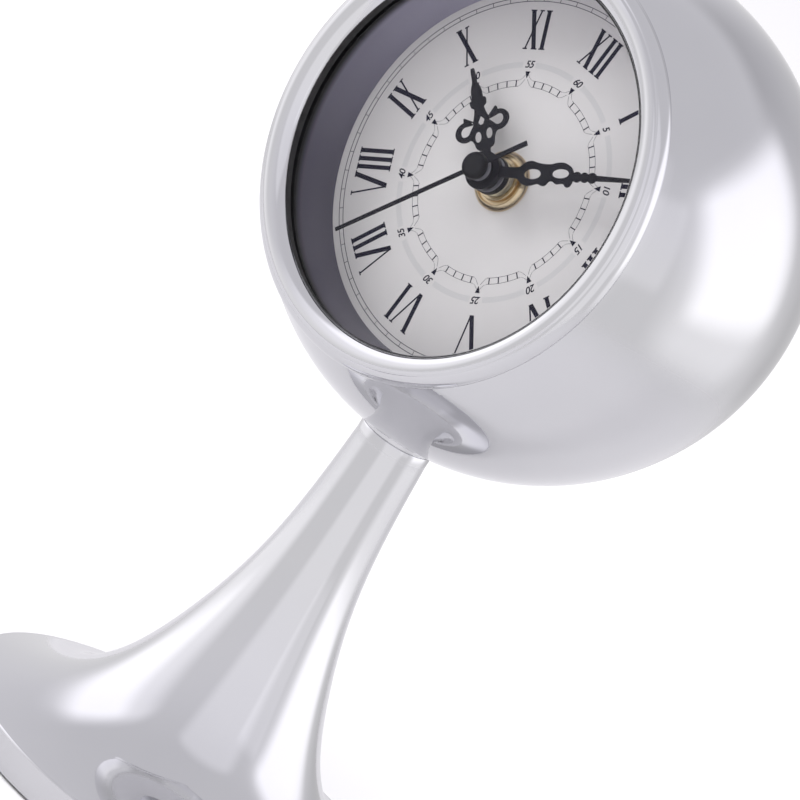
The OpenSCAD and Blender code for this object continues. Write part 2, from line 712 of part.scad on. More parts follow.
module minute_hand() color([0.05, 0.05, 0.06]) face() rotate([0, 0, -minute_angle]) {
  translate([0, 0, minute_plate_z]) linear_extrude(hand_t) minute_plate();
  ring(hub_r, cannon_r + 0.02, hub_t, minute_hub_z);
  ring(minute_step_r, cannon_r + 0.02, minute_cap_z - minute_hub_z - hub_t + eps, minute_hub_z + hub_t - eps);
}

seconds_half = [0.55, 0.5, 0.4];   // half width at the tail, the middle and the tip
seconds_hub_r = 1.4;
seconds_hub_t = 0.6;

module seconds_hand() color([0.05, 0.05, 0.06]) face() rotate([0, 0, -seconds_angle]) difference() {
  union() {
    translate([0, 0, seconds_plate_z]) linear_extrude(hand_t) polygon(mirrored([
      [seconds_half[0], -seconds_tail_l], [seconds_half[1], 0], [seconds_half[2], seconds_hand_l]]));
    translate([0, 0, seconds_hub_z]) cylinder(r = seconds_hub_r, h = seconds_hub_t);
    translate([0, 0, seconds_plate_z]) cylinder(r = cap_r, h = hand_t);
  }
  translate([0, 0, seconds_hub_z - eps]) cylinder(r = seconds_r + 0.02, h = seconds_plate_z - seconds_hub_z + 0.2);
}

cap_curve = [[cap_r, 0], [cap_r, 0.9 * cap_h], [0.6 * cap_r, cap_h], [0, cap_h]];

module hand_cap() color([0.06, 0.06, 0.07]) face() translate([0, 0, seconds_plate_z + hand_t])
  rotate_extrude() polygon(concat([[0, 0]], curve_side(cap_curve, 8)));

// Arbors and wheels

module hour_wheel() color([0.9, 0.9, 0.88]) face() {
  gear(hour_teeth, hour_size, wheel_t, hour_wheel_z, hour_turn, cannon_r + run_gap);
  ring(hour_tube_r, cannon_r + run_gap, hour_hub_z + hub_t - hour_wheel_z, hour_wheel_z);
}

cannon_z = motion_wheel_z - 0.2;
cannon_t = wheel_t + 0.4;
arbor_foot = centre_wheel_z - 0.5;
clutch_t = 0.3;

module minute_arbor() color([0.8, 0.65, 0.3]) face() difference() {
  union() {
    translate([0, 0, arbor_foot]) cylinder(r = cannon_r, h = minute_cap_z - arbor_foot);
    gear(cannon_teeth, motion_size, cannon_t, cannon_z);
    translate([0, 0, centre_wheel_z + wheel_t + eps]) cylinder(r = 2.6, h = layer_gap - 0.15);
  }
  translate([0, 0, arbor_foot - eps]) cylinder(r = seconds_r + run_gap, h = far);
}

// Spring washer that presses the centre wheel to the arbor, so that the hands can be set
module clutch_spring() color("silver") face()
  ring(3, cannon_r + snug_gap, clutch_t, centre_wheel_z - clutch_t - 0.03);

module centre_wheel() color([0.9, 0.9, 0.88]) face()
  gear(centre_teeth, centre_size, wheel_t, centre_wheel_z, centre_turn, cannon_r + run_gap);

pinion_over = 0.2;

module seconds_wheel() color([0.9, 0.9, 0.88]) face() {
  translate([0, 0, back_in + 0.6]) cylinder(r = arbor_r, h = seconds_wheel_z - back_in);
  translate([0, 0, seconds_wheel_z]) cylinder(r = seconds_r, h = seconds_plate_z + 0.1 - seconds_wheel_z);
  gear(seconds_teeth, seconds_size, wheel_t, seconds_wheel_z);
  gear(pinion_teeth, third_size, wheel_t + 2 * pinion_over, third_wheel_z - pinion_over);
}

module third_wheel() color([0.9, 0.9, 0.88]) face() translate([third_at[0], third_at[1], 0]) {
  translate([0, 0, back_in + 0.6]) cylinder(r = arbor_r, h = mid_plate_z + mid_plate_t - back_in - 0.7);
  gear(third_teeth, third_size, wheel_t, third_wheel_z, third_turn);
  gear(pinion_teeth, centre_size, centre_wheel_z + wheel_t + 0.1 - third_wheel_z, third_wheel_z);
}

module intermediate_wheel() color([0.9, 0.9, 0.88]) face() translate([between_at[0], between_at[1], 0]) {
  gear(between_teeth, rotor_size, wheel_t, between_wheel_z, 0, arbor_r + run_gap);
  gear(pinion_teeth, seconds_size, seconds_wheel_z + wheel_t + 0.2 - between_wheel_z, between_wheel_z,
    between_turn, arbor_r + run_gap);
}

magnet_t = 2.6;

module rotor() color([0.25, 0.25, 0.28]) face() translate([rotor_at[0], rotor_at[1], 0]) {
  translate([0, 0, back_in + 0.6]) cylinder(r = arbor_r, h = mid_plate_z + mid_plate_t - back_in - 0.7);
  gear(rotor_teeth, rotor_size, wheel_t + 2 * pinion_over, between_wheel_z - pinion_over, rotor_turn);
  translate([0, 0, stator_z + stator_t / 2 - magnet_t / 2]) cylinder(r = magnet_r, h = magnet_t);
}

module motion_wheel() color([0.9, 0.9, 0.88]) face() translate([motion_at[0], motion_at[1], 0]) {
  gear(motion_teeth, motion_size, wheel_t, motion_wheel_z, motion_turn, stud_r + run_gap);
  gear(motion_pinion_teeth, hour_size, hour_wheel_z + wheel_t + 0.1 - motion_wheel_z - wheel_t + eps,
    motion_wheel_z + wheel_t - eps, 0, stud_r + run_gap);
}

knob_r = 5.5;
knob_t = 3.4;
knob_gap = 0.8;
knob_notches = 12;

module setting_knob() color([0.85, 0.85, 0.83]) face() translate([setting_at[0], setting_at[1], 0]) {
  translate([0, 0, case_rear - knob_gap - eps]) cylinder(r = setting_r, h = cannon_z + cannon_t - case_rear + knob_gap);
  gear(cannon_teeth, motion_size, cannon_t, cannon_z, setting_turn);
  difference() {
    translate([0, 0, case_rear - knob_gap - knob_t]) cylinder(r = knob_r, h = knob_t);
    for (i = [0:knob_notches - 1]) rotate([0, 0, 360 * i / knob_notches])
      translate([knob_r + 0.4, 0, case_rear - knob_gap - knob_t - eps]) cylinder(r = 0.9, h = far, $fn = 16);
  }
}

pedestal();
base_weight();
base_plate();
felt_pad();
tie_rod();
base_washer();
base_nut();
seat_ring();
ball_washer();
ball_nut();
ball_shell();
rear_cover();
bezel();
glass();
gasket();
inner_ring();
retaining_ring();
dial();
dial_backing();
dial_screws();
rubber_washer();
movement_case();
case_back();
mid_plate();
threaded_bush();
dial_nut();
stator();
coil_core();
coil();
circuit_board();
quartz_crystal();
battery();
battery_contacts();
hour_hand();
hour_wheel();
minute_hand();
minute_arbor();
clutch_spring();
centre_wheel();
seconds_hand();
hand_cap();
seconds_wheel();
third_wheel();
intermediate_wheel();
rotor();
motion_wheel();
setting_knob();
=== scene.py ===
# %% [markdown]
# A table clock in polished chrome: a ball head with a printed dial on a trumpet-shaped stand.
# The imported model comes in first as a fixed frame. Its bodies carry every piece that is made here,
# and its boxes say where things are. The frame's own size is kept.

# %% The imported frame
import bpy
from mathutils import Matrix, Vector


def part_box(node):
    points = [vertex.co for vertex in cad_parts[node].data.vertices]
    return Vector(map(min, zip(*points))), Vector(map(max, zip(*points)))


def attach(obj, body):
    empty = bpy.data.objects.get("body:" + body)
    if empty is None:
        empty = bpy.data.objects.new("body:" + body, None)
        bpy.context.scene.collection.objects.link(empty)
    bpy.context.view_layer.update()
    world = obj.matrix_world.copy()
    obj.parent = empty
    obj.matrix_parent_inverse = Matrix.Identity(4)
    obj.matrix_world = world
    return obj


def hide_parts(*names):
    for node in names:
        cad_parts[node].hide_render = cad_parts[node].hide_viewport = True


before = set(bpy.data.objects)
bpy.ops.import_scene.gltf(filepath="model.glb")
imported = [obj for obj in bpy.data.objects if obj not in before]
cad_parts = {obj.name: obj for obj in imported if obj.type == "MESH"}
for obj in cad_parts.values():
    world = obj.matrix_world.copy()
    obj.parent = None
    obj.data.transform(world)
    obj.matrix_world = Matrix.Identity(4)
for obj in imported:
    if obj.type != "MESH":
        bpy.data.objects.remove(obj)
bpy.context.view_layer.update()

# %% The tools of the trade
import math

import bmesh
import bpy
from mathutils import Matrix, Vector
from mathutils.geometry import delaunay_2d_cdt, interpolate_bezier

MM = 0.001

# %% [markdown]
# Everything on the real clock is measured in millimetres, so the pieces are modelled in
# millimetres too, and turned into metres once, when they are put in their place. Two places are
# enough: the stand's, with its origin on the table, and the dial's, whose z grows out of the
# printed face towards the glass. The dial leans back a little with the whole ball. The print has
# a place of its own, because it sits on the dial very slightly turned and a touch smaller.

# %% Where the stand and the dial are
BALL_R = 60.8
BALL_H = 162.4
TILT = math.radians(7.1)
BEZEL_R = 51.45
DIAL_DEPTH = 14.5
FACE_Z = math.sqrt(BALL_R**2 - BEZEL_R**2)
DIAL_Z = FACE_Z - DIAL_DEPTH
PRINT_TURN = math.radians(-0.42)
PRINT_SCALE = 0.997

STAND = Matrix.Identity(4)
HEAD = Matrix((
    (1, 0, 0, 0),
    (0, math.sin(TILT), -math.cos(TILT), 0),
    (0, math.cos(TILT), math.sin(TILT), BALL_H),
    (0, 0, 0, 1),
))
DIAL = HEAD @ Matrix.Translation((0, 0, DIAL_Z))
PRINT = (DIAL @ Matrix.Rotation(PRINT_TURN, 4, "Z")
         @ Matrix.Diagonal((PRINT_SCALE, PRINT_SCALE, 1, 1)))

ball_low, ball_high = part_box("ball_shell")
print("ball is", round((ball_high.x - ball_low.x) / MM, 2), "mm wide and ends at",
      round(ball_high.z / MM, 2), "mm; expected", 2 * BALL_R, "and", BALL_H + BALL_R)

# %% [markdown]
# The photograph looks down on the clock from its right side with a long lens, and the camera is
# rolled over to the left. A camera is a place and three directions, so they are written as such:
# the way it looks, and which way is right in the picture. The third direction follows from them.

# %% The camera
CAMERA_AT = Vector((595.87, -804.17, 351.79))
LOOK = Vector((-0.58155, 0.77844, -0.23630)).normalized()
PICTURE_RIGHT = Vector((0.59816, 0.60604, 0.52433))
PICTURE_UP = PICTURE_RIGHT.cross(LOOK).normalized()

camera_data = bpy.data.cameras.new("camera")
camera_data.sensor_width = 36
camera_data.lens = 210.54
camera_data.clip_start = 0.05
camera_data.clip_end = 50
camera = bpy.data.objects.new("camera", camera_data)
sideways = LOOK.cross(PICTURE_UP).normalized()
camera.matrix_world = Matrix.Translation(CAMERA_AT * MM) @ Matrix(
    (sideways, PICTURE_UP, -LOOK)).transposed().to_4x4()
bpy.context.scene.collection.objects.link(camera)
bpy.context.scene.camera = camera
print("camera stands", round(CAMERA_AT.length), "mm away")

# %% [markdown]
# Finishes are node trees. Wiring nodes one by one hides the idea behind them, so two small classes
# do it: a Board holds the tree and adds a node in one call, and a Wire is what a node gives out.
# Sums and products written on wires add Math nodes, so a recipe reads like the formula it is. The
# turned-round forms let a plain number stand in front, as in 1 - mask.

# %% Wires
def arithmetic(operation, turned_round=False):
    """A method that joins two values in one Math node."""
    def act(self, other):
        pair = (other, self) if turned_round else (self, other)
        return self.board.node("ShaderNodeMath", {"operation": operation}, dict(enumerate(pair)))
    return act


class Wire:
    def __init__(self, board, socket):
        self.board = board
        self.socket = socket

    __add__ = __radd__ = arithmetic("ADD")
    __mul__ = __rmul__ = arithmetic("MULTIPLY")
    __sub__ = arithmetic("SUBTRACT")
    __rsub__ = arithmetic("SUBTRACT", turned_round=True)
    __truediv__ = arithmetic("DIVIDE")

    def size(self):
        """The value without its sign."""
        return self.board.node("ShaderNodeMath", {"operation": "ABSOLUTE"}, {0: self})

    def wave(self):
        """The sine of the value."""
        return self.board.node("ShaderNodeMath", {"operation": "SINE"}, {0: self})

    def rising(self, low, high):
        """0 below low, 1 above high, and a smooth step between them."""
        return self.board.node("ShaderNodeMapRange", {"interpolation_type": "SMOOTHSTEP"},
                               {"Value": self, "From Min": low, "From Max": high})

    def spread(self, low, high):
        """A value of 0 to 1 spread over a range of its own."""
        return self.board.node("ShaderNodeMapRange", {}, {"Value": self, "To Min": low, "To Max": high})


# %% [markdown]
# A Board adds any node with one method: the node's settings first, because they decide which
# sockets it has, then a number or a wire for each socket. The other methods are the few patterns
# that the finishes share: clouds, a blend of two colours, and a relief that bends the light.
# Clouds read the piece's own coordinates, so they stay where they are on it when it moves.

# %% Boards
class Board:
    def __init__(self, tree):
        self.tree = tree
        tree.nodes.clear()

    def node(self, kind, settings=None, sockets=None, out=0):
        """Add one node: its settings first, then the numbers or wires on its sockets."""
        made = self.tree.nodes.new(kind)
        for key, value in (settings or {}).items():
            setattr(made, key, value)
        for key, value in (sockets or {}).items():
            if isinstance(value, Wire):
                self.tree.links.new(value.socket, made.inputs[key])
            else:
                made.inputs[key].default_value = value
        return Wire(self, made.outputs[out]) if made.outputs else None

    def place(self):
        """The piece's own coordinates, in metres."""
        return self.node("ShaderNodeTexCoord", out="Object")

    def noise(self, grain, detail=4):
        """Cloudy noise from 0 to 1, whose lumps are about grain millimetres wide."""
        return self.node("ShaderNodeTexNoise", {},
                         {"Vector": self.place(), "Scale": 1 / (grain * MM), "Detail": detail})

    def axis(self, vector, which):
        """One of a vector's three numbers."""
        return self.node("ShaderNodeSeparateXYZ", {}, {"Vector": vector}, out=which)

    def vector_maths(self, operation, vector, other=(0, 0, 0), out="Vector"):
        """A Vector Math node. Its answer is a vector, or with out="Value" a number."""
        return self.node("ShaderNodeVectorMath", {"operation": operation}, {0: vector, 1: other}, out)

    def blend(self, share, first, second):
        """A colour that goes from first to second as share goes from 0 to 1."""
        return self.node("ShaderNodeMix", {"data_type": "RGBA"}, {0: share, 6: first, 7: second}, out=2)

    def bump(self, height, depth, strength=1.0):
        """A surface normal for a relief of about depth millimetres."""
        return self.node("ShaderNodeBump", {},
                         {"Height": height, "Distance": depth * MM, "Strength": strength})


# %% [markdown]
# Each finish is a material with a board of its own, kept by its name so that a piece can ask for
# it. Nearly all of them end in one Principled shader, which the last helper adds.

# %% Named finishes
def rgb(red, green, blue):
    """An opaque colour, in linear light."""
    return (red, green, blue, 1)


FINISHES = {}


def new_finish(name):
    """An empty material with its board, kept by name."""
    material = bpy.data.materials.new(name)
    material.use_nodes = True
    FINISHES[name] = material
    return Board(material.node_tree)


def principled(board, **sockets):
    """Send one Principled shader to the surface. Socket names are written with underscores."""
    shader = board.node("ShaderNodeBsdfPrincipled", {},
                        {key.replace("_", " "): value for key, value in sockets.items()})
    board.node("ShaderNodeOutputMaterial", {}, {"Surface": shader})


print("wires and boards are ready")

# %% [markdown]
# Chrome has no colour of its own: it shows the room. In the photograph that room is a light tent,
# greyer overhead, with a big soft light behind the right shoulder of the ball, a second one at the
# left, and a glow round each. The wall in front at the right and a narrow corner beside it are a
# little paler than the rest, and the far wall is darker. The room is painted on the world by
# direction, so nothing stands in the way of a camera on any side. A light is a rectangle whose
# edges fade over some degrees. The camera itself sees plain white behind the clock.

# %% The room that the chrome mirrors
def heading(azimuth, elevation):
    """The direction with this azimuth, from the front towards the right, and elevation."""
    a, e = math.radians(azimuth), math.radians(elevation)
    return Vector((math.sin(a) * math.cos(e), -math.cos(a) * math.cos(e), math.sin(e)))


world = bpy.data.worlds.new("studio")
world.use_nodes = True
bpy.context.scene.world = world
sky = Board(world.node_tree)
toward = sky.node("ShaderNodeTexCoord", out="Generated")


def along(vector):
    """How far the direction that is looked in goes along another one."""
    return sky.vector_maths("DOT_PRODUCT", toward, vector, out="Value")


def soft_light(azimuth, elevation, half_wide, half_high, side_edge, top_edge):
    """1 inside a rectangle of light in that direction, and 0 outside. All sizes are in degrees."""
    ahead = heading(azimuth, elevation)
    right = ahead.cross(Vector((0, 0, 1))).normalized()
    top = right.cross(ahead)
    deep = along(ahead)
    inside = deep.rising(0.0, 0.2)
    for side, half, edge in ((right, half_wide, side_edge), (top, half_high, top_edge)):
        limit = math.tan(math.radians(half))
        soft = math.tan(math.radians(half + edge))
        inside = inside * (1 - (along(side) / deep).size().rising(limit, soft))
    return inside


height = along(Vector((0, 0, 1)))
wall = 0.858 - 0.107 * height.rising(0.3, 0.9)
right_wall = soft_light(47, 15, 21, 36, 14, 8.5) * 0.19
right_light = soft_light(137, 19, 19, 17.5, 14, 10) * 0.42
right_glow = soft_light(133, 12, 15, 23, 24, 15.5) * 0.28
left_light = soft_light(-78, 25, 10.5, 18, 17, 10) * 0.37
left_glow = soft_light(-69, 19, 18, 25.5, 25.5, 11) * 0.36
corner = soft_light(83, 18, 9.5, 13, 5.5, 7) * 0.12
far_wall = soft_light(-167.5, 14.5, 6, 25.5, 24, 12.5) * -0.21
glow = wall + right_wall + right_light + right_glow + left_light + left_glow + corner + far_wall
tint = sky.blend(height.rising(-0.1, 0.6), rgb(1.0, 0.99, 1.01), rgb(0.985, 0.972, 1.025))
seen = sky.node("ShaderNodeLightPath", out="Is Camera Ray")
tent = sky.node("ShaderNodeBackground", {}, {"Color": tint, "Strength": glow})
white = sky.node("ShaderNodeBackground", {}, {"Color": rgb(1, 1, 1), "Strength": 1.05})
both = sky.node("ShaderNodeMixShader", {}, {0: seen, 1: tent, 2: white})
sky.node("ShaderNodeOutputWorld", {}, {"Surface": both})

bpy.context.scene.view_settings.view_transform = "Standard"
print("the room is painted with", len(sky.tree.nodes), "nodes")

# %% [markdown]
# A painted room alone lights the dial too evenly. So there are two round lamps that no mirror
# shows: a wide one overhead for the floor and the dial, and a small one in front at the left, which
# gives the hands their shadows.

# %% Lamps that mirrors don't show
LAMPS_AIM = Vector((0, 0, 0.15))


def hidden_lamp(name, at, size, energy):
    """A round area lamp that neither the camera nor a mirror shows."""
    data = bpy.data.lights.new(name, "AREA")
    data.shape = "DISK"
    data.size = size
    data.energy = energy
    lamp = bpy.data.objects.new(name, data)
    lamp.location = at
    lamp.rotation_mode = "QUATERNION"
    lamp.rotation_quaternion = (LAMPS_AIM - lamp.location).to_track_quat("-Z", "Y")
    lamp.visible_glossy = False
    lamp.visible_camera = False
    bpy.context.scene.collection.objects.link(lamp)


hidden_lamp("overhead", (0.5, -1.2, 2.4), 2.4, 24)
hidden_lamp("key", (-1.25, -0.95, 0.75), 0.7, 9)
print(len(bpy.data.lights), "lamps")

# %% [markdown]
# The floor is a wide disc of white paper. It goes further than any camera here can see, but in the
# photograph the mirrors show a small table top and the room beyond it. So in mirrors the paper is
# a little greyer, and it fades out between 22 and 60 centimetres from the clock. It hangs on none
# of the clock's bodies.

# %% The floor
FLOOR_R = 12.0
FADE_FROM = 0.22
FADE_TO = 0.60
paper = new_finish("floor_paper")
mirrored_ray = paper.node("ShaderNodeLightPath", out="Is Glossy Ray")
paper_skin = paper.node("ShaderNodeBsdfPrincipled", {}, {
    "Base Color": paper.blend(mirrored_ray, rgb(0.965, 0.962, 0.958), rgb(0.77, 0.765, 0.77)),
    "Roughness": 0.9, "Normal": paper.bump(paper.noise(3), 0.01, 0.2)})
far_off = paper.vector_maths("LENGTH", paper.place(), out="Value").rising(FADE_FROM, FADE_TO)
gone = paper.node("ShaderNodeBsdfTransparent", {}, {"Color": rgb(1, 1, 1)})
faded = paper.node("ShaderNodeMixShader", {}, {0: far_off * mirrored_ray, 1: paper_skin, 2: gone})
paper.node("ShaderNodeOutputMaterial", {}, {"Surface": faded})
floor_form = bmesh.new()
bmesh.ops.create_circle(floor_form, cap_ends=True, segments=96, radius=FLOOR_R)
floor_mesh = bpy.data.meshes.new("floor")
floor_form.to_mesh(floor_mesh)
floor_form.free()
floor_mesh.materials.append(FINISHES["floor_paper"])
floor = bpy.data.objects.new("floor", floor_mesh)
bpy.context.scene.collection.objects.link(floor)
print("the floor is", 2 * FLOOR_R, "m across")

# %% [markdown]
# Polished chrome is a mirror with very little of its own: a hint of blue, the faint cloudiness of
# a buffed surface, and waves too shallow to see that still bend a reflection. The ball, the bezel
# and the stand were buffed on different wheels, so each gets its own amount of each.

# %% Chrome
def chrome(name, haze, wave):
    """Polished plate. Haze is its roughness, and wave is how deep its waves are, in millimetres."""
    board = new_finish(name)
    clouds = board.noise(14, 3)
    principled(board,
               Base_Color=board.blend(clouds, rgb(0.64, 0.64, 0.66), rgb(0.67, 0.67, 0.685)),
               Metallic=1.0,
               Roughness=clouds.spread(haze * 0.7, haze * 1.2),
               Normal=board.bump(board.noise(26, 1), wave, 1.0))


chrome("chrome_ball", 0.05, 0.012)
chrome("chrome_stand", 0.045, 0.012)
chrome("chrome_bezel", 0.04, 0.004)
print(len(FINISHES), "finishes with the chromes and the floor's")

# %% [markdown]
# The other metals differ in colour and in the marks that made them: rings from a lathe on the
# brass nut, a dull pitted skin on the cast weight, zinc plating that clouds, and drawn steel.
# Lathe rings are a sine of the distance from the axis, which the dial's own axis gives.

# %% Other metals
DIAL_AXIS = DIAL.to_3x3() @ Vector((0, 0, 1))
DIAL_CENTRE = (DIAL @ Vector((0, 0, 0))) * MM


def from_dial(board):
    """The way from the dial's centre to a point, in metres."""
    return board.vector_maths("SUBTRACT", board.place(), DIAL_CENTRE)


def from_dial_axis(board):
    """How far a point is from the dial's axis, in metres."""
    square_to_it = board.vector_maths("CROSS_PRODUCT", from_dial(board), DIAL_AXIS)
    return board.vector_maths("LENGTH", square_to_it, out="Value")


def lathed(name, pale, deep, roughness, pitch=0.12):
    """Turned metal, with rings that are pitch millimetres apart."""
    board = new_finish(name)
    clouds = board.noise(3, 4)
    rings = (from_dial_axis(board) * (2 * math.pi / (pitch * MM))).wave()
    principled(board, Base_Color=board.blend(clouds, pale, deep), Metallic=1.0,
               Roughness=clouds.spread(roughness * 0.8, roughness * 1.25),
               Normal=board.bump(rings, 0.004, 0.6))


def plain_metal(name, pale, deep, roughness, grain, relief, metallic=1.0):
    """Metal with two tones in clouds, and a grain that is relief millimetres deep."""
    board = new_finish(name)
    clouds = board.noise(grain * 8, 5)
    principled(board, Base_Color=board.blend(clouds.rising(0.3, 0.7), pale, deep), Metallic=metallic,
               Roughness=clouds.spread(roughness * 0.75, roughness * 1.25),
               Normal=board.bump(board.noise(grain, 5), relief, 0.8))


lathed("nut_brass", rgb(0.78, 0.64, 0.44), rgb(0.62, 0.49, 0.31), 0.24)
lathed("thread_brass", rgb(0.86, 0.80, 0.58), rgb(0.72, 0.65, 0.44), 0.2)
plain_metal("zinc_steel", rgb(0.62, 0.64, 0.66), rgb(0.50, 0.52, 0.56), 0.34, 0.6, 0.01)
plain_metal("spring_steel", rgb(0.66, 0.66, 0.67), rgb(0.55, 0.55, 0.57), 0.25, 0.3, 0.004)
plain_metal("soft_iron", rgb(0.55, 0.54, 0.52), rgb(0.43, 0.42, 0.42), 0.4, 0.3, 0.01)
plain_metal("cast_iron", rgb(0.07, 0.07, 0.075), rgb(0.03, 0.03, 0.03), 0.62, 0.9, 0.12, 0.6)
plain_metal("magnet", rgb(0.13, 0.13, 0.14), rgb(0.08, 0.08, 0.09), 0.45, 0.25, 0.02, 0.7)
print(len(FINISHES), "finishes with the other metals")

# %% [markdown]
# Plastics, paint, rubber, felt and card have colour of their own. What makes them look real is the
# skin: moulded plastic has a fine grain, sprayed paint a slight orange peel, felt is a mat of
# fibres, and rubber is dull. One recipe covers them, with the grain's size and depth in
# millimetres. Shine is how much the skin mirrors: ink, lacquer and the hands' paint have little.

# %% Plastics, paint and soft materials
def skin(name, pale, deep, roughness, grain, relief, shine=0.5, **more):
    """Anything but metal: two tones in clouds, and a fine grain."""
    board = new_finish(name)
    clouds = board.noise(grain * 25, 4)
    principled(board, Base_Color=board.blend(clouds.rising(0.3, 0.7), pale, deep),
               Roughness=clouds.spread(roughness * 0.85, roughness * 1.15), Specular_IOR_Level=shine,
               Normal=board.bump(board.noise(grain, 3), relief, 0.7), **more)


skin("black_plastic", rgb(0.022, 0.022, 0.024), rgb(0.014, 0.014, 0.015), 0.42, 0.22, 0.02)
skin("movement_plastic", rgb(0.03, 0.03, 0.032), rgb(0.02, 0.02, 0.021), 0.5, 0.18, 0.02)
skin("yellow_plastic", rgb(0.70, 0.50, 0.12), rgb(0.60, 0.42, 0.09), 0.38, 0.2, 0.01)
skin("white_nylon", rgb(0.80, 0.80, 0.77), rgb(0.74, 0.74, 0.70), 0.36, 0.15, 0.01,
     Subsurface_Weight=0.08)
skin("black_rubber", rgb(0.016, 0.016, 0.017), rgb(0.01, 0.01, 0.01), 0.6, 0.1, 0.01)
skin("hand_black", rgb(0.014, 0.013, 0.020), rgb(0.010, 0.009, 0.014), 0.4, 0.12, 0.003, shine=0.15)
skin("collar_grey", rgb(0.33, 0.325, 0.36), rgb(0.28, 0.275, 0.30), 0.3, 0.1, 0.003)
skin("cap_black", rgb(0.014, 0.013, 0.018), rgb(0.010, 0.009, 0.013), 0.36, 0.1, 0.002, shine=0.2)
skin("dial_face", rgb(0.745, 0.717, 0.700), rgb(0.73, 0.703, 0.686), 0.6, 1.2, 0.001, shine=0.2)
skin("dial_band", rgb(0.67, 0.652, 0.642), rgb(0.655, 0.637, 0.627), 0.6, 1.2, 0.001, shine=0.2)
skin("printing_ink", rgb(0.022, 0.020, 0.038), rgb(0.016, 0.014, 0.028), 0.6, 0.8, 0.001, shine=0.1)
skin("fine_ink", rgb(0.14, 0.135, 0.15), rgb(0.11, 0.105, 0.12), 0.6, 0.8, 0.001, shine=0.1)
skin("dial_backing", rgb(0.10, 0.10, 0.11), rgb(0.07, 0.07, 0.08), 0.5, 0.2, 0.01)
skin("felt", rgb(0.035, 0.036, 0.038), rgb(0.02, 0.02, 0.022), 0.95, 0.35, 0.25, Sheen_Weight=0.4)
print(len(FINISHES), "finishes with plastics, paint and soft materials")

# %% [markdown]
# Inside the movement a few things have a pattern of their own: the coil is wound from fine wire,
# the circuit board shows its tracks through green lacquer, and the battery wears a printed jacket
# in two colours with no words on it. None of this is deeper than a hair, so it is done in the
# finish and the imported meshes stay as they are.

# %% Coil, board and battery
WIRE_PITCH = 0.14
PALE_END = 16.5
BATTERY_KNOB = 1.1


def wound_wire():
    board = new_finish("copper_wire")
    turns = (board.axis(board.place(), "X") * (2 * math.pi / (WIRE_PITCH * MM))).wave()
    copper = board.blend(turns.rising(-1, 1), rgb(0.30, 0.09, 0.03), rgb(0.72, 0.30, 0.12))
    principled(board, Base_Color=copper, Metallic=0.9, Roughness=turns.spread(0.28, 0.36),
               Normal=board.bump(turns, 0.03, 0.9))


def lacquered_board():
    board = new_finish("green_board")
    tracks = board.node("ShaderNodeTexVoronoi", {"feature": "DISTANCE_TO_EDGE", "distance": "EUCLIDEAN"},
                        {"Vector": board.place(), "Scale": 320.0}).rising(0.08, 0.12)
    principled(board, Base_Color=board.blend(tracks, rgb(0.10, 0.28, 0.10), rgb(0.02, 0.12, 0.05)),
               Roughness=tracks.spread(0.3, 0.42), Normal=board.bump(tracks, -0.03, 0.6),
               Coat_Weight=0.4)


def battery_jacket():
    board = new_finish("battery_jacket")
    low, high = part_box("battery")
    along_it = board.axis(board.place(), "X")
    split = along_it.rising(high.x - PALE_END * MM, high.x - (PALE_END - 0.3) * MM)
    knob = along_it.rising(high.x - BATTERY_KNOB * MM, high.x - (BATTERY_KNOB - 0.2) * MM)
    print_colour = board.blend(split, rgb(0.03, 0.03, 0.034), rgb(0.62, 0.36, 0.10))
    principled(board, Base_Color=board.blend(knob, print_colour, rgb(0.6, 0.6, 0.6)),
               Metallic=knob.spread(0.35, 1.0), Roughness=board.noise(4).spread(0.24, 0.36),
               Normal=board.bump(board.noise(1.5), 0.01, 0.4))


wound_wire()
lacquered_board()
battery_jacket()
print(len(FINISHES), "finishes with coil, board and battery")

# %% [markdown]
# The deep ring round the dial has satin grey paint. In the photograph its wall is dark at the
# bottom, paler at the top and nearly black close to the lip, more so than one even paint would be
# under these lamps. So light and shade are painted into its grey: painted light makes it paler
# towards the top, and painted shade makes it nearly black close to the lip.

# %% The ring's paint, with painted light and painted shade
PAINTED_LIGHT_FROM = -30
PAINTED_LIGHT_TO = 40
SHADE_FROM = 10.5
SHADE_TO = 12.8


def ring_paint_and_painted_light():
    board = new_finish("grey_ring")
    point = from_dial(board)
    # Painted light: the grey gets paler towards the top, where more light falls.
    painted_light_up = board.axis(point, "Z").rising(PAINTED_LIGHT_FROM * MM, PAINTED_LIGHT_TO * MM)
    above_dial = board.vector_maths("DOT_PRODUCT", point, DIAL_AXIS, out="Value")
    # Painted shade: the grey turns nearly black close to the lip, in the shade under it.
    painted_shade_near_lip = above_dial.rising(SHADE_FROM * MM, SHADE_TO * MM)
    paint_with_painted_light = board.blend(painted_light_up, rgb(0.097, 0.090, 0.124), rgb(0.42, 0.40, 0.51))
    principled(board, Base_Color=board.blend(painted_shade_near_lip, paint_with_painted_light, rgb(0.03, 0.029, 0.036)),
               Roughness=board.noise(8).spread(0.34, 0.37),
               Normal=board.bump(board.noise(1.2), 0.0008, 0.5))


ring_paint_and_painted_light()
# The near-black part of the ring's grey is painted shade under the lip.
print("the ring's paint is nearly black from", SHADE_TO, "mm above the dial")

# %% [markdown]
# The glass is flat and thin, so it hardly bends what is behind it. What it does is mirror a little
# of the room, more so at a low angle. A mix of a clear and a glossy shader by Fresnel shows just
# that, and lets lamps light the dial without noise.

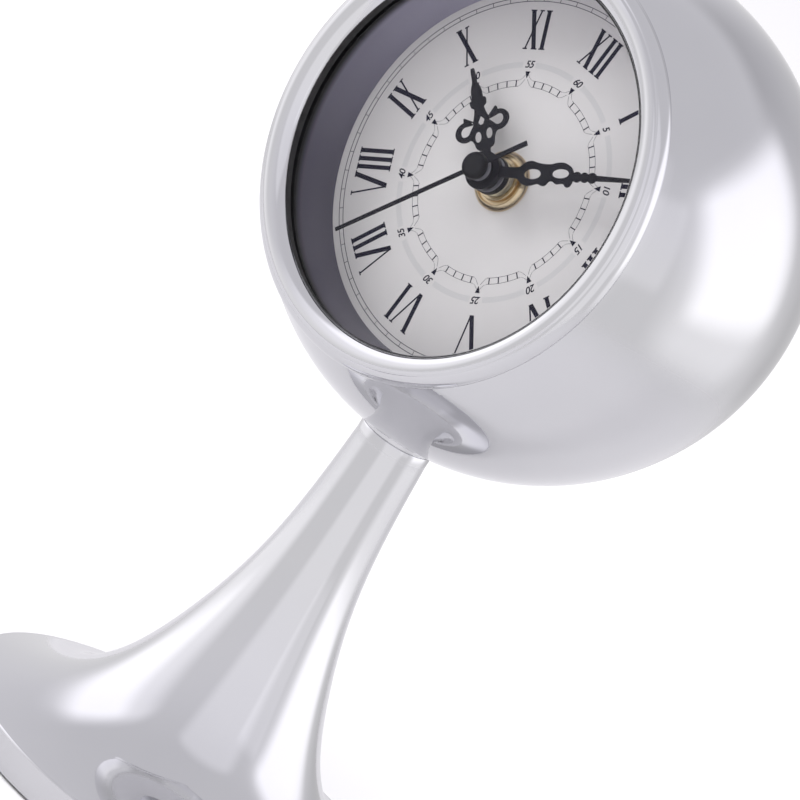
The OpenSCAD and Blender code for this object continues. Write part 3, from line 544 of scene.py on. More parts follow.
# %% Glass
def pane():
    board = new_finish("glass")
    mirror = board.node("ShaderNodeBsdfGlossy", {}, {"Color": rgb(1, 1, 1), "Roughness": 0.02})
    clear = board.node("ShaderNodeBsdfTransparent", {}, {"Color": rgb(0.965, 0.97, 0.975)})
    share = board.node("ShaderNodeFresnel", {}, {"IOR": 1.16})
    both_ways = board.node("ShaderNodeMixShader", {}, {0: share, 1: clear, 2: mirror})
    board.node("ShaderNodeOutputMaterial", {}, {"Surface": both_ways})


pane()
print(len(FINISHES), "finishes in all")

# %% [markdown]
# Most of this clock is turned work: the ball, the stand, the bezel, nuts and washers. On a lathe
# a piece is its half section spun round an axis, and spin does the same here. Edges sharper than
# a given angle are marked sharp, so that the rest can be shaded as one smooth skin.

# %% Turned work
def shade(form, crease=32):
    """Smooth shading, broken at the edges that are sharper than crease."""
    for face in form.faces:
        face.smooth = True
    for edge in form.edges:
        edge.smooth = len(edge.link_faces) == 2 and edge.calc_face_angle(0) < math.radians(crease)


def turned(section, steps=160, closed=True, crease=32):
    """Spin a half section of (radius, height) points round the z axis."""
    form = bmesh.new()
    line = [form.verts.new((r, 0, z)) for r, z in section]
    pairs = list(zip(line, line[1:])) + ([(line[-1], line[0])] if closed else [])
    edges = [form.edges.new(pair) for pair in pairs]
    bmesh.ops.spin(form, geom=line + edges, cent=(0, 0, 0), axis=(0, 0, 1), dvec=(0, 0, 0),
                   angle=2 * math.pi, steps=steps, use_merge=True, use_duplicate=False)
    bmesh.ops.remove_doubles(form, verts=form.verts, dist=1e-5)
    bmesh.ops.recalc_face_normals(form, faces=form.faces)
    shade(form, crease)
    return form


def washer(outer, inner, low, high, soft=0.0):
    """Half section of a flat ring. With soft, its outer corners are cut at 45 degrees."""
    return [(inner, low), (outer - soft, low), (outer, low + soft), (outer, high - soft),
            (outer - soft, high), (inner, high)]


def curve(points, steps):
    """A cubic curve through the first and last of four points."""
    start, pull_out, pull_in, end = (Vector((x, y, 0)) for x, y in points)
    return [(p.x, p.y) for p in interpolate_bezier(start, pull_out, pull_in, end, steps + 1)]


def finished(form, name, material, place=DIAL, stands_for=(), body="clock"):
    """Put a form that is modelled in millimetres in its place, in metres, on its body."""
    bmesh.ops.transform(form, matrix=Matrix.Scale(MM, 4) @ place, verts=form.verts)
    mesh = bpy.data.meshes.new(name)
    form.to_mesh(mesh)
    form.free()
    mesh.materials.append(FINISHES[material])
    piece = bpy.data.objects.new(name, mesh)
    bpy.context.scene.collection.objects.link(piece)
    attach(piece, body)
    if stands_for:
        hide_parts(*stands_for)
    print(name, len(mesh.polygons), "faces")
    return piece


# %% [markdown]
# The stand is one drawn skin of steel. Its side is two cubic curves that meet without a kink where
# the trumpet turns outwards, then a small round and an upright rim. A curve needs only its ends,
# the way it leans there and how far it is pulled along that lean, so it stays smooth whatever is
# changed. The inside is the same side moved inwards along its own normals by the sheet's wall.

# %% The stand
STAND_WALL = 1.2
BASE_R = 54.1
RIM_H = 8.1
RIM_ROUND = 0.6
RIM_LIFT = 0.6
STEM_R = 8.8
SEAT_H = 1.24
STEM_H = BALL_H - math.sqrt(BALL_R**2 - STEM_R**2) - SEAT_H
NECK_H = STEM_H - 2.4
NECK_LEAN = 3.1
NECK_PULL = 24.7
FLARE_LEAN = 20.7
FLARE_PULL_UP = 21.7
FLARE_PULL_DOWN = 22.8
RIM_SLOPE = 14.8
RIM_PULL = 19


def leaning(start, angle, pull):
    """The point that lies pull further down a line leaning outwards by angle."""
    lean = math.radians(angle)
    return (start[0] + pull * math.sin(lean), start[1] - pull * math.cos(lean))


neck = (STEM_R, NECK_H)
flare = (19.25, 39.9)
rim_edge = (BASE_R - RIM_ROUND, RIM_H)
neck_side = curve([neck, leaning(neck, NECK_LEAN, NECK_PULL),
                   leaning(flare, FLARE_LEAN, -FLARE_PULL_UP), flare], 48)
flare_side = curve([flare, leaning(flare, FLARE_LEAN, FLARE_PULL_DOWN),
                    leaning(rim_edge, 90 - RIM_SLOPE, -RIM_PULL), rim_edge], 64)
stand_side = neck_side + flare_side[1:]


def moved_in(side, wall):
    """The same line moved inwards by wall, point by point."""
    inner = []
    for before, point, after in zip(side[:1] + side, side, side[1:] + side[-1:]):
        slope = Vector(after) - Vector(before)
        inner.append((point[0] + wall * slope.y / slope.length, point[1] - wall * slope.x / slope.length))
    return inner


rim_corner = [(rim_edge[0] + RIM_ROUND * math.cos(math.radians(a)),
               RIM_H - RIM_ROUND + RIM_ROUND * math.sin(math.radians(a))) for a in range(75, -1, -15)]
stem_edge = [(STEM_R - 0.5, STEM_H), (STEM_R - 0.15, STEM_H - 0.05), (STEM_R, STEM_H - 0.4)]
rim_foot = [(BASE_R, RIM_LIFT + 0.3), (BASE_R - 0.3, RIM_LIFT), (BASE_R - STAND_WALL, RIM_LIFT)]
section = (stem_edge + stand_side + rim_corner + rim_foot
           + moved_in(stand_side, STAND_WALL)[::-1] + [(STEM_R - STAND_WALL, STEM_H)])
finished(turned(section, 224), "stand_skin", "chrome_stand", STAND, ["pedestal"])

# %% [markdown]
# Between stem and ball sits a thin polished ring. Its top is hollowed to the ball's round, so an
# arc of the ball's radius closes its section. Under the base lies a disc of felt, whose edge is
# softened, because it is cut from a thick and woolly sheet.

# %% Seat ring and felt
SEAT_R = STEM_R - 0.5
SPIGOT_R = STEM_R - STAND_WALL - 0.05
SPIGOT_L = 6
ROD_HOLE = 3.2


def ball_floor(r):
    """Height of the underside of the ball at this distance from the middle."""
    return BALL_H - math.sqrt((BALL_R + 0.05)**2 - r**2)


cup = [(r, ball_floor(r)) for r in (SEAT_R, 7.5, 6.5, 5.5, 4.4, ROD_HOLE)]
section = [(ROD_HOLE, STEM_H - SPIGOT_L), (SPIGOT_R, STEM_H - SPIGOT_L), (SPIGOT_R, STEM_H),
           (SEAT_R, STEM_H)] + cup
finished(turned(section, 96), "seat_collar", "chrome_stand", STAND, ["seat_ring"])

FELT_R = BASE_R - STAND_WALL - 1.4
FELT_T = 1.5
felt_edge = [(FELT_R, 0.3), (FELT_R, FELT_T - 0.5), (FELT_R - 0.25, FELT_T - 0.12)]
section = [(0, 0), (FELT_R - 0.4, 0.0)] + felt_edge + [(FELT_R - 0.8, FELT_T), (0, FELT_T)]
finished(turned(section, 128, closed=False), "felt_disc", "felt", STAND, ["felt_pad"])

# %% [markdown]
# The head is a steel ball with two round openings: one in front for the bezel and one at the back
# for the service cover. A sphere could be cut by two planes and given a wall. Spinning the arc
# between the openings about the dial's axis does all of that at once, with true cut edges.

# %% The ball
BALL_WALL = 1.2
REAR_HOLE_R = 36.0


def arc(radius, from_z, to_z, steps):
    """Points of a circle round the origin between two heights."""
    start, end = math.asin(from_z / radius), math.asin(to_z / radius)
    return [(radius * math.cos(start + (end - start) * i / steps),
             radius * math.sin(start + (end - start) * i / steps)) for i in range(steps + 1)]


inner_r = BALL_R - BALL_WALL
rear_z = -math.sqrt(BALL_R**2 - REAR_HOLE_R**2)
inner_rear_z = -math.sqrt(inner_r**2 - REAR_HOLE_R**2)
section = arc(BALL_R, FACE_Z, rear_z, 110) + arc(inner_r, inner_rear_z, FACE_Z, 60)
finished(turned(section, 240), "ball_skin", "chrome_ball", HEAD, ["ball_shell"])

# %% [markdown]
# The bezel is spun brass under chrome: a foot flush with the ball, a crown, a sharp crease, and a
# fat bead that rolls over and ends in a lip well above the glass. A skirt goes down inside the
# ball. Crown and bead are a curve each, and where they meet at an angle the crease stays sharp.
# The photograph shows the lip about 3 mm and the crease about 2 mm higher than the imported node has
# them, so this section follows the photograph.

# %% The bezel
GLASS_TOP = DIAL_DEPTH + 0.7
GLASS_LOW = GLASS_TOP - 1.7
GASKET_T = 0.8
FLANGE_TOP = GLASS_LOW - GASKET_T
FLANGE_T = 1.4
LIP_R = 44.8
DIAL_R = 43.5
SKIRT_R = math.sqrt(inner_r**2 - FACE_Z**2) - 0.12
SKIRT_IN_R = SKIRT_R - 1.3
SKIRT_LOW = FLANGE_TOP - FLANGE_T - 1.8
BEAD_IN_R = 43.9
LIP_LOW = GLASS_TOP + 2.7
FOOT_R = BEZEL_R - 1.0
CREASE_R = BEZEL_R - 2.55
CREASE_H = DIAL_DEPTH + 5.4
foot = [(r, math.sqrt(BALL_R**2 - r * r) - DIAL_Z)
        for r in (BEZEL_R, BEZEL_R - 0.35, BEZEL_R - 0.7, FOOT_R)]
crown = curve([foot[-1], (FOOT_R + 0.75, foot[-1][1] + 1.0), (CREASE_R + 1.5, CREASE_H - 0.45),
               (CREASE_R, CREASE_H)], 20)
bead = curve([(CREASE_R, CREASE_H), (CREASE_R - 0.6, CREASE_H + 1.05),
              (BEAD_IN_R + 1.3, CREASE_H + 0.9), (BEAD_IN_R, LIP_LOW + 0.35)], 32)
lip = [(BEAD_IN_R + 0.1, LIP_LOW), (LIP_R + 0.9, LIP_LOW), (LIP_R + 0.9, GLASS_TOP)]
section = ([(SKIRT_R, SKIRT_LOW), (SKIRT_R, DIAL_DEPTH)] + foot[:-1] + crown + bead[1:] + lip
           + [(SKIRT_IN_R, GLASS_TOP), (SKIRT_IN_R, SKIRT_LOW)])
finished(turned(section, 240), "bezel_ring", "chrome_bezel", DIAL, ["bezel"])

# %% [markdown]
# Behind the bezel come the glass with its ground edge and a black gasket under it. A black ring
# fills the room between the lip and the glass. It isn't among the imported nodes: it belongs to the
# higher lip, and from the side it shows as the black line round the dial.

# %% Glass, gasket and black lip ring
GLASS_R = SKIRT_IN_R - 0.6
GROUND = 0.2
section = [(0, GLASS_LOW), (GLASS_R - GROUND, GLASS_LOW), (GLASS_R, GLASS_LOW + GROUND),
           (GLASS_R, GLASS_TOP - GROUND), (GLASS_R - GROUND, GLASS_TOP), (0, GLASS_TOP)]
finished(turned(section, 160, closed=False), "glass_pane", "glass", DIAL, ["glass"])
finished(turned(washer(GLASS_R, LIP_R + 0.1, FLANGE_TOP, FLANGE_TOP + GASKET_T, 0.1), 160),
         "rubber_gasket", "black_rubber", DIAL, ["gasket"])
finished(turned(washer(LIP_R + 0.8, LIP_R - 0.3, GLASS_TOP + 0.02, LIP_LOW - 0.02, 0.05), 160),
         "lip_black_ring", "black_rubber")

# %% [markdown]
# The deep grey ring carries the dial. It is what the eye reads as the depth of the clock, so its
# wall keeps its slight cone, wider at the glass than at the dial. A flange at its top rests in
# the bezel, and its lower end reaches round the dial's edge and backing.

# %% The deep ring
FLANGE_R = SKIRT_IN_R - 0.3
FLANGE_LOW = FLANGE_TOP - FLANGE_T
DIAL_FIT_R = DIAL_R + 1.2
RING_OUT_R = DIAL_FIT_R + 1.6
BACKING_LOW = -2.3
section = [(LIP_R + 0.1, FLANGE_TOP), (FLANGE_R, FLANGE_TOP), (FLANGE_R, FLANGE_LOW),
           (RING_OUT_R, FLANGE_LOW), (RING_OUT_R, BACKING_LOW), (DIAL_FIT_R, BACKING_LOW),
           (DIAL_FIT_R, 0), (DIAL_R + 0.1, 0), (DIAL_R, 0.12)]
finished(turned(section, 224), "depth_ring", "grey_ring", DIAL, ["inner_ring"])

# %% [markdown]
# Printed marks and cut-out hands are flat shapes with outlines that overlap. Drawing each stroke
# as its own simple outline and letting a constrained triangulation find the union is easier than
# working out one outline by hand, and the same call leaves out the holes. An extrusion then makes
# the sheet as thick as ink or steel.

# %% Cut sheet
def counterclockwise(outline):
    """The outline in the direction that the triangulation takes for the outside of a face."""
    area = sum(a[0] * b[1] - b[0] * a[1] for a, b in zip(outline, outline[1:] + outline[:1]))
    return outline if area > 0 else outline[::-1]


def cut_sheet(solids, holes, low, high):
    """A closed plate between two heights: all the solid outlines joined, less the holes."""
    points = []
    loops = []
    for outline in list(solids) + list(holes):
        loops.append(list(range(len(points), len(points) + len(outline))))
        points += [Vector(p) for p in counterclockwise(outline)]
    corners, _, triangles, _, _, sources = delaunay_2d_cdt(points, [], loops, 0, 1e-5)
    form = bmesh.new()
    verts = [form.verts.new((p.x, p.y, low)) for p in corners]
    for triangle, source in zip(triangles, sources):
        if source and max(source) < len(solids):
            form.faces.new([verts[i] for i in triangle])
    loose = [v for v in form.verts if not v.link_faces]
    bmesh.ops.delete(form, geom=loose, context="VERTS")
    bmesh.ops.dissolve_limit(form, angle_limit=0.002, verts=form.verts, edges=form.edges)
    grown = bmesh.ops.extrude_face_region(form, geom=form.faces[:])
    raised = [v for v in grown["geom"] if isinstance(v, bmesh.types.BMVert)]
    bmesh.ops.translate(form, verts=raised, vec=(0, 0, high - low))
    bmesh.ops.recalc_face_normals(form, faces=form.faces)
    return form


# %% [markdown]
# Everything on a dial goes round, so a place on it is given as on a clock: how far out, how far to
# the right of the radius, and at which angle past twelve. Short bars and stretches of ring are
# drawn that way, and ink is a very thin cut sheet that lies on the dial's face.

# %% Marks on the dial
INK_LOW = 0.01
INK_HIGH = 0.04


def at_clock(x, r, angle):
    """A dial point x to the right of a radius and r out along it, at an angle past XII."""
    a = math.radians(angle)
    return (x * math.cos(a) + r * math.sin(a), r * math.cos(a) - x * math.sin(a))


def arc_band(inner, outer, start, end, steps):
    """Outline of a stretch of ring between two angles past XII."""
    angles = [start + (end - start) * i / steps for i in range(steps + 1)]
    return [at_clock(0, outer, a) for a in angles] + [at_clock(0, inner, a) for a in reversed(angles)]


def bar(angle, width, inner, outer):
    """Outline of a short straight bar that lies along a radius."""
    half = width / 2
    return [at_clock(x, r, angle) for x, r in
            ((-half, inner), (half, inner), (half, outer), (-half, outer))]


def printed(marks, name, ink, low=INK_LOW, high=INK_HIGH):
    """Ink in the shape of these outlines."""
    finished(cut_sheet(marks, [], low, high), name, ink, PRINT)


# %% [markdown]
# The hour numerals are Roman, in a face with thick and thin strokes and small flat serifs, and
# their feet point to the middle all the way round. Three letters make them all, so each letter is
# a short list of strokes. The print has the V of VII and VIII the other way round, thin arm first.

# %% Numerals
NUMERALS = ["XII", "I", "II", "III", "IV", "V", "VI", "vII", "vIII", "IX", "X", "XI"]
LETTER_LOW = 30.0
LETTER_H = 9.0
THICK = 0.98
THIN = 0.38
SERIF_H = 0.3
LETTER_GAP = 0.3


def stroke(x_low, x_high, width):
    """A straight stroke over the whole height of a letter, with level ends."""
    return [(x_low - width / 2, 0), (x_low + width / 2, 0),
            (x_high + width / 2, LETTER_H), (x_high - width / 2, LETTER_H)]


def serif(x, top, half):
    """A flat serif at the head or the foot of a stroke."""
    y = LETTER_H - SERIF_H if top else 0
    return [(x - half, y), (x + half, y), (x + half, y + SERIF_H), (x - half, y + SERIF_H)]


def other_way(width, strokes):
    """The same letter seen in a mirror."""
    return (width, [[(width - x, y) for x, y in s] for s in strokes])


LETTERS = {
    "I": (1.55, [stroke(0.775, 0.775, THICK), serif(0.775, True, 0.76), serif(0.775, False, 0.76)]),
    "V": (5.7, [stroke(2.9, 0.72, THICK * 1.1), stroke(3.1, 5.15, THIN), serif(0.72, True, 0.8),
                serif(5.15, True, 0.5)]),
    "X": (3.9, [stroke(2.95, 0.9, THICK * 1.1), stroke(0.65, 3.1, THIN), serif(0.95, True, 0.75),
                serif(3.1, True, 0.55), serif(2.95, False, 0.75), serif(0.65, False, 0.55)]),
}
LETTERS["v"] = other_way(*LETTERS["V"])


def numeral(word, angle):
    """Outlines of one Roman numeral, centred on its hour."""
    width = sum(LETTERS[letter][0] for letter in word) + LETTER_GAP * (len(word) - 1)
    x = -width / 2
    outlines = []
    for letter in word:
        advance, strokes = LETTERS[letter]
        outlines += [[at_clock(x + px, LETTER_LOW + py, angle) for px, py in s] for s in strokes]
        x += advance + LETTER_GAP
    return outlines


marks = [outline for hour, word in enumerate(NUMERALS) for outline in numeral(word, 30 * hour)]
printed(marks, "numerals", "printing_ink")

# %% [markdown]
# Two tracks count the minutes. The outer one is a railroad: two lines with a sleeper at each
# minute. A line is drawn in twelve stretches, because an outline can't have a hole in it.

# %% Outer minute track
RAIL_OUT = 42.0
RAIL_IN = 41.0
RAIL_W = 0.17
SLEEPER_W = 0.14
rails = [arc_band(r - RAIL_W / 2, r + RAIL_W / 2, start, start + 30, 16)
         for r in (RAIL_IN, RAIL_OUT) for start in range(0, 360, 30)]
sleepers = [bar(6 * minute, SLEEPER_W, RAIL_IN, RAIL_OUT) for minute in range(60)]
printed(rails + sleepers, "outer_track", "fine_ink")

# %% [markdown]
# The inner track is a small ladder between the fives. At each five a black triangle points
# inwards, and thin curves rise to it from the ends of the ladder's rails. Rails are a finer and
# greyer line than ticks, so the two are separate sheets. A pale band runs behind the numbers.

# %% Inner minute track
LADDER_IN = 21.6
LADDER_OUT = 23.0
LINE_W = 0.1
TICK_W = 0.26
TIP_R = 23.4
TRIANGLE_H = 1.6
TRIANGLE_HALF = 0.62


def tail(side, angle, start_r, end_r):
    """A thin curve from the end of a ladder rail out to the triangle beside it."""
    middle = curve([(side * 1.75, start_r), (side * 1.2, start_r + 0.05),
                    (side * 0.75, end_r - 0.6), (side * 0.3, end_r)], 8)
    left = [at_clock(x - LINE_W / 2, r, angle) for x, r in middle]
    right = [at_clock(x + LINE_W / 2, r, angle) for x, r in middle]
    return left + right[::-1]


ladder = []
ticks = []
for five in range(0, 360, 30):
    for r in (LADDER_IN, LADDER_OUT):
        ladder.append(arc_band(r - LINE_W / 2, r + LINE_W / 2, five + 4.4, five + 25.6, 14))
    for side in (-1, 1):
        ladder.append(tail(side, five, LADDER_IN, TIP_R - 0.2))
        ladder.append(tail(side, five, LADDER_OUT, TIP_R + 0.9))
    for minute in range(1, 5):
        ticks.append(bar(five + 6 * minute, TICK_W, LADDER_IN, LADDER_OUT))
    ticks.append([at_clock(0, TIP_R, five), at_clock(TRIANGLE_HALF, TIP_R + TRIANGLE_H, five),
                  at_clock(-TRIANGLE_HALF, TIP_R + TRIANGLE_H, five)])
printed(ladder, "ladder_rails", "fine_ink", high=INK_HIGH - 0.01)
printed(ticks, "ladder_ticks", "printing_ink")

BAND_R = 26.5
BAND_HALF = 0.65
band = [arc_band(BAND_R - BAND_HALF, BAND_R + BAND_HALF, five + 3.6, five + 26.4, 14)
        for five in range(0, 360, 30)]
printed(band, "pale_band", "dial_band", low=0.005, high=0.02)

# %% [markdown]
# The small minute numbers are set in type, because a font's digits are better than strokes drawn
# by hand. A text object is made for each, turned into a mesh and laid out on its circle. A shear
# makes them lean like the italic of the print, and a small offset makes them as bold.

# %% Minute numbers
NUMBER_R = 26.55
NUMBER_SIZE = 2.3
numbers = bmesh.new()
for hour in range(1, 13):
    text = bpy.data.curves.new("number", "FONT")
    text.body = str(5 * hour)
    text.size = NUMBER_SIZE
    text.align_x = "CENTER"
    text.align_y = "CENTER"
    text.shear = 0.25
    text.space_character = 0.92
    text.offset = 0.035
    text.extrude = (INK_HIGH - INK_LOW) / 2
    setting = bpy.data.objects.new("number", text)
    flat = bpy.data.meshes.new_from_object(setting)
    x, y = at_clock(0, NUMBER_R, 30 * hour)
    flat.transform(Matrix.Translation((x, y, (INK_LOW + INK_HIGH) / 2))
                   @ Matrix.Rotation(math.radians(-30 * hour), 4, "Z"))
    numbers.from_mesh(flat)
    bpy.data.objects.remove(setting)
bmesh.ops.remove_doubles(numbers, verts=numbers.verts, dist=1e-4)
bmesh.ops.recalc_face_normals(numbers, faces=numbers.faces)
finished(numbers, "minute_numbers", "printing_ink", PRINT)

# %% [markdown]
# A brass bush with a fine thread comes through the dial, and a round brass nut clamps it. The
# nut's flange has a bevel and a recess. The thread's crests catch the light as bright rings. A real
# thread is a helix, but from here rings look the same, and a spun section closes by itself.

# %% Nut and thread
BUSH_R = 4.0
BUSH_TOP = 4.0
BUSH_BORE = 2.55
NUT_R = 6.8
THREAD_PITCH = 0.6
THREAD_LOW = -5.0
THREAD_LEAD = 0.5
ROOT_R = BUSH_R - 0.32
CREST_R = BUSH_R - 0.02
section = [(BUSH_R + 0.05, 0.0), (NUT_R - 0.1, 0.0), (NUT_R, 0.1), (NUT_R, 0.6), (NUT_R - 0.12, 0.78),
           (NUT_R - 0.75, 1.42), (NUT_R - 0.95, 1.5), (NUT_R - 1.1, 1.46), (NUT_R - 1.3, 0.9),
           (BUSH_R + 0.95, 0.9), (BUSH_R + 0.9, 1.0), (BUSH_R + 0.8, 1.82), (BUSH_R + 0.7, 1.9),
           (BUSH_R + 0.05, 1.9)]
finished(turned(section, 128), "clamp_nut", "nut_brass", DIAL, ["dial_nut"])

thread = []
z = THREAD_LOW
while z < BUSH_TOP - THREAD_PITCH:
    thread += [(ROOT_R, z), (CREST_R, z + THREAD_PITCH * 0.42), (CREST_R, z + THREAD_PITCH * 0.58)]
    z += THREAD_PITCH
section = ([(BUSH_BORE, THREAD_LOW - THREAD_LEAD), (ROOT_R, THREAD_LOW - THREAD_LEAD)] + thread
           + [(ROOT_R, z), (BUSH_R - 0.45, BUSH_TOP), (BUSH_BORE, BUSH_TOP)])
finished(turned(section, 96, crease=50), "threaded_tube", "thread_brass", DIAL,
         ["threaded_bush"])

# %% [markdown]
# The hands are stamped from thin sheet and painted black. Each one is drawn pointing up and then
# turned to the time shown. The outlines are short lists of points that a smooth line runs through,
# with round eyes punched out. A small bevel round the top edge is what catches the light. It is
# given to the sharp edges of the outline on the upper side only.

# %% How a hand is cut
SHOWN_HOUR = 10
SHOWN_MINUTE = 10.05
SHOWN_SECOND = 35.6
MINUTE_ANGLE = 6 * SHOWN_MINUTE
HOUR_ANGLE = 30 * (SHOWN_HOUR + SHOWN_MINUTE / 60)
SECOND_ANGLE = 6 * SHOWN_SECOND
HAND_T = 0.4
HAND_BEVEL = 0.07
SHORTEST_EDGE = 0.02
SHARP = 1.2


def smoothed(points, steps):
    """A smooth line through the points between the first and the last."""
    line = []
    for a, b, c, d in zip(points, points[1:], points[2:], points[3:]):
        a, b, c, d = Vector(a), Vector(b), Vector(c), Vector(d)
        for k in range(steps):
            t = k / steps
            line.append(tuple(b + t * (c - a) / 2 + t * t * (2 * a - 5 * b + 4 * c - d) / 2
                              + t**3 * (3 * b - a - 3 * c + d) / 2))
    return line


def mirrored(half):
    """A closed outline from its right half."""
    return half + [(-x, y) for x, y in reversed(half)]


def oval(x, y, across, along_it, steps=36):
    """Outline of an oval round (x, y)."""
    turns = [2 * math.pi * i / steps for i in range(steps)]
    return [(x + across * math.cos(a), y + along_it * math.sin(a)) for a in turns]


def blade(solids, holes, low, angle, name, body, node):
    """A hand's sheet: cut, bevelled on top, and turned to its angle."""
    form = cut_sheet(solids, holes, low, low + HAND_T)
    rim = [e for e in form.edges if e.calc_length() > SHORTEST_EDGE
           and all(v.co.z > low + HAND_T / 2 for v in e.verts) and e.calc_face_angle(0) > SHARP]
    bmesh.ops.bevel(form, geom=rim, offset=HAND_BEVEL, offset_type="OFFSET", affect="EDGES",
                    segments=1, profile=0.5, material=-1, clamp_overlap=True)
    shade(form, 40)
    turned_to = DIAL @ Matrix.Rotation(math.radians(-angle), 4, "Z")
    finished(form, name, "hand_black", turned_to, [node], body)


# %% [markdown]
# The hour hand is a slim leaf with fretwork at its widest place. One side of the leaf is drawn
# and mirrored. What stands beside it, two round scrolls with a small arm above each, is added in
# a loop for left and right, and so are most of the holes. The middle of the hand is a round hub.

# %% Hour hand
HUB_R = 4.3
HUB_T = 1.6
HOUR_HUB_Z = 4.1
HOUR_TUBE_R = 2.5
hour_half = [
    (0.95, 1.0), (0.95, 2.5), (0.95, 6.0), (1.7, 6.5), (2.25, 7.2), (2.5, 8.3), (3.0, 9.3), (3.6, 9.9),
    (2.6, 12.0), (1.9, 13.6), (1.55, 14.5), (1.3, 15.4), (1.2, 16.3), (1.75, 16.75), (1.95, 17.4),
    (1.95, 18.2), (1.4, 18.5), (1.3, 19.4), (1.25, 20.4), (1.0, 21.4), (0.62, 22.3), (0.5, 23.2),
    (0.5, 24.8), (0.5, 25.4)]
hub = oval(0, 0, HUB_R - 0.2, HUB_R - 0.2, 64)
hour_solids = [mirrored(smoothed(hour_half, 4) + [(0.38, 25.8)]), hub]
hour_holes = [[(0, 14.35), (0.9, 13.1), (0.35, 12.15), (-0.35, 12.15), (-0.9, 13.1)],
              oval(0, 0, HOUR_TUBE_R + 0.5, HOUR_TUBE_R + 0.5, 48)]
for side in (-1, 1):
    hour_solids.append(oval(side * 4.25, 11.85, 2.5, 2.3, 44))
    hour_solids.append([(side * 1.7, 13.4), (side * 3.9, 15.15), (side * 4.15, 15.1), (side * 4.3, 14.0)])
    hour_holes.append(oval(side * 4.2, 11.95, 1.25, 1.25, 32))
    hour_holes.append([(side * 4.1, 13.15), (side * 1.8, 12.9), (side * 3.2, 11.3)])
    hour_holes.append(oval(side * 1.4, 9.65, 0.85, 1.3, 28))
blade(hour_solids, hour_holes, HOUR_HUB_Z + 0.55, HOUR_ANGLE, "hour_blade", "hour", "hour_hand")

# %% [markdown]
# The minute hand has two long eyes, three beads and a thin tip. Its two sides aren't alike, one is
# lobed and the other runs smoothly, so each has a list of its own.

# %% Minute hand
MINUTE_HUB_Z = 7.0
CANNON_R = 1.7
lobed_side = [
    (1.2, 2), (1.2, 4), (1.2, 8.4), (1.7, 9.5), (2.4, 10.5), (2.65, 11.8), (2.35, 13.2), (2.05, 14.2),
    (2.4, 15.2), (2.3, 16.2), (1.4, 17.0), (1.35, 17.9), (1.85, 18.9), (1.7, 20.0), (1.75, 20.8),
    (2.35, 21.5), (2.2, 22.3), (1.4, 22.8), (0.7, 23.0), (0.6, 24)]
smooth_side = [
    (-1.2, 2), (-1.2, 4), (-1.2, 8.4), (-1.8, 9.6), (-2.5, 10.5), (-2.85, 11.9), (-2.5, 13.7),
    (-2.35, 15.4), (-2.4, 16.9), (-2.8, 18.3), (-2.9, 20.1), (-2.2, 21.8), (-1.1, 22.7), (-0.7, 23.0),
    (-0.6, 24)]
minute_solids = [
    smoothed(lobed_side, 6) + [(0.62, 27.6), (0.42, 37.3), (-0.42, 37.3), (-0.62, 27.6)]
    + smoothed(smooth_side, 6)[::-1],
    hub,
    oval(0, 23.8, 1.15, 1.15, 28), oval(0, 25.7, 1.1, 1.1, 28), oval(0, 27.6, 1.15, 1.15, 28)]
minute_holes = [oval(0, 12.6, 1.15, 2.15), oval(-0.5, 19.6, 1.05, 2.15),
                oval(0, 0, CANNON_R + 0.5, CANNON_R + 0.5, 40)]
blade(minute_solids, minute_holes, MINUTE_HUB_Z + 0.7, MINUTE_ANGLE, "minute_blade", "minute",
      "minute_hand")

# %% [markdown]
# The seconds hand is a plain bar with a short tail. Its round middle lies hidden under the cap.

# %% Seconds hand
SECOND_HUB_Z = MINUTE_HUB_Z + 3.5
SECOND_Z = SECOND_HUB_Z + 0.4
CAP_R = 3.05
CAP_H = 1.6
second_bar = mirrored([(0.55, -13.0), (0.5, 0), (0.4, 36.3)])
second_hub = oval(0, 0, CAP_R - 0.05, CAP_R - 0.05, 64)
blade([second_bar, second_hub], [], SECOND_Z, SECOND_ANGLE, "second_blade", "seconds", "seconds_hand")

# %% [markdown]
# Each hand has a turned collar that grips its arbor, and a domed cap closes the stack. The
# collars' flat tops are bare satin metal and show as grey crescents, so they are thin pieces with
# a finish of their own. The minute hand's collar has a step.

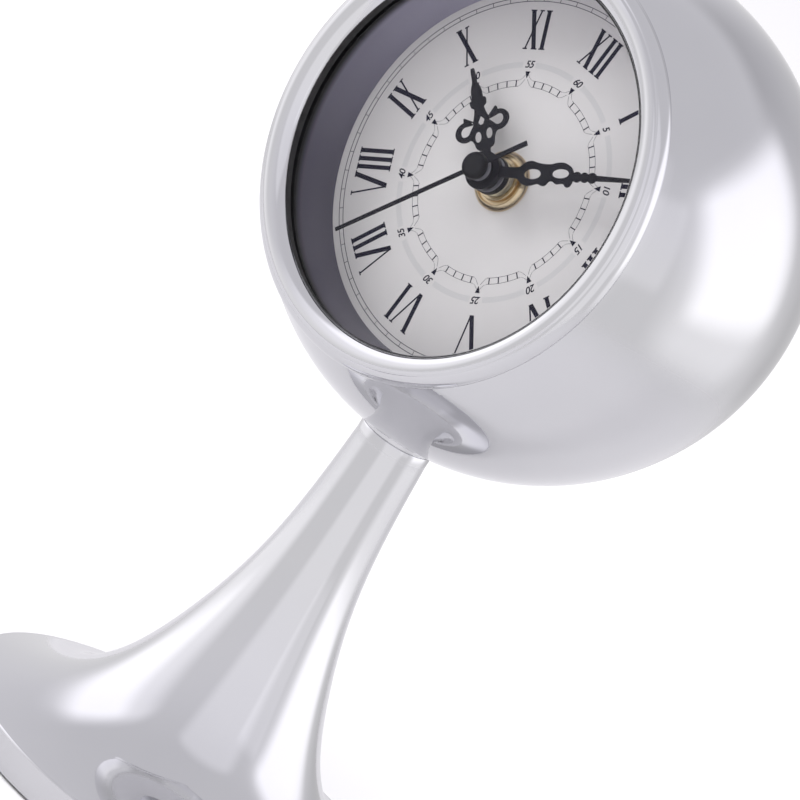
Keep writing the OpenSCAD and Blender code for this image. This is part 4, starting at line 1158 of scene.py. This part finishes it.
# %% Collars and cap
GRIP_GAP = 0.02
COLLAR_EDGE = 0.15
FACE_T = 0.06
FACE_EDGE = 0.16
STEP_R = 2.9
STEP_H = 2.3
hour_bore = HOUR_TUBE_R + GRIP_GAP
minute_bore = CANNON_R + GRIP_GAP
second_bore = 0.7 + GRIP_GAP
hour_top = HOUR_HUB_Z + HUB_T
minute_top = MINUTE_HUB_Z + HUB_T
step_top = MINUTE_HUB_Z + STEP_H


def collar(name, body, bore, low, high, outer, material="hand_black"):
    """A turned ring that goes round with a hand."""
    form = turned(washer(outer, bore, low, high, COLLAR_EDGE), 96)
    finished(form, name, material, body=body)


collar("hour_collar", "hour", hour_bore, HOUR_HUB_Z, hour_top - FACE_T, HUB_R)
collar("hour_collar_top", "hour", hour_bore, hour_top - FACE_T, hour_top, HUB_R - FACE_EDGE,
       "collar_grey")
collar("minute_collar", "minute", minute_bore, MINUTE_HUB_Z, minute_top, HUB_R)
collar("minute_collar_step", "minute", minute_bore, minute_top, step_top - FACE_T, STEP_R)
collar("minute_collar_top", "minute", minute_bore, step_top - FACE_T, step_top, STEP_R - FACE_EDGE,
       "collar_grey")
collar("second_collar", "seconds", second_bore, SECOND_HUB_Z, SECOND_Z, 1.4)

CAP_LOW = SECOND_Z + HAND_T
dome = curve([(CAP_R, CAP_LOW), (CAP_R, CAP_LOW + 0.9 * CAP_H), (0.6 * CAP_R, CAP_LOW + CAP_H),
              (0, CAP_LOW + CAP_H)], 20)
finished(turned([(0, CAP_LOW)] + dome, 96, closed=False), "dome_cap", "cap_black", DIAL, ["hand_cap"],
         "seconds")

# %% [markdown]
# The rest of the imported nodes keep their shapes: the weight and the rod in the stand, and all that
# makes the movement behind the dial. Each gets its finish from the slot that the record names for
# it. A name that has no finish is printed, so that a missing one can't go unnoticed.

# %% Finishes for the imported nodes
dressed = 0
for name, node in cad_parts.items():
    if node.hide_render:
        continue
    for material_slot in node.material_slots:
        wanted = material_slot.material.name.split(".")[0]
        if wanted in FINISHES:
            material_slot.material = FINISHES[wanted]
            dressed += 1
        else:
            print("no finish for", name, wanted)
print(dressed, "packed nodes keep their shape")
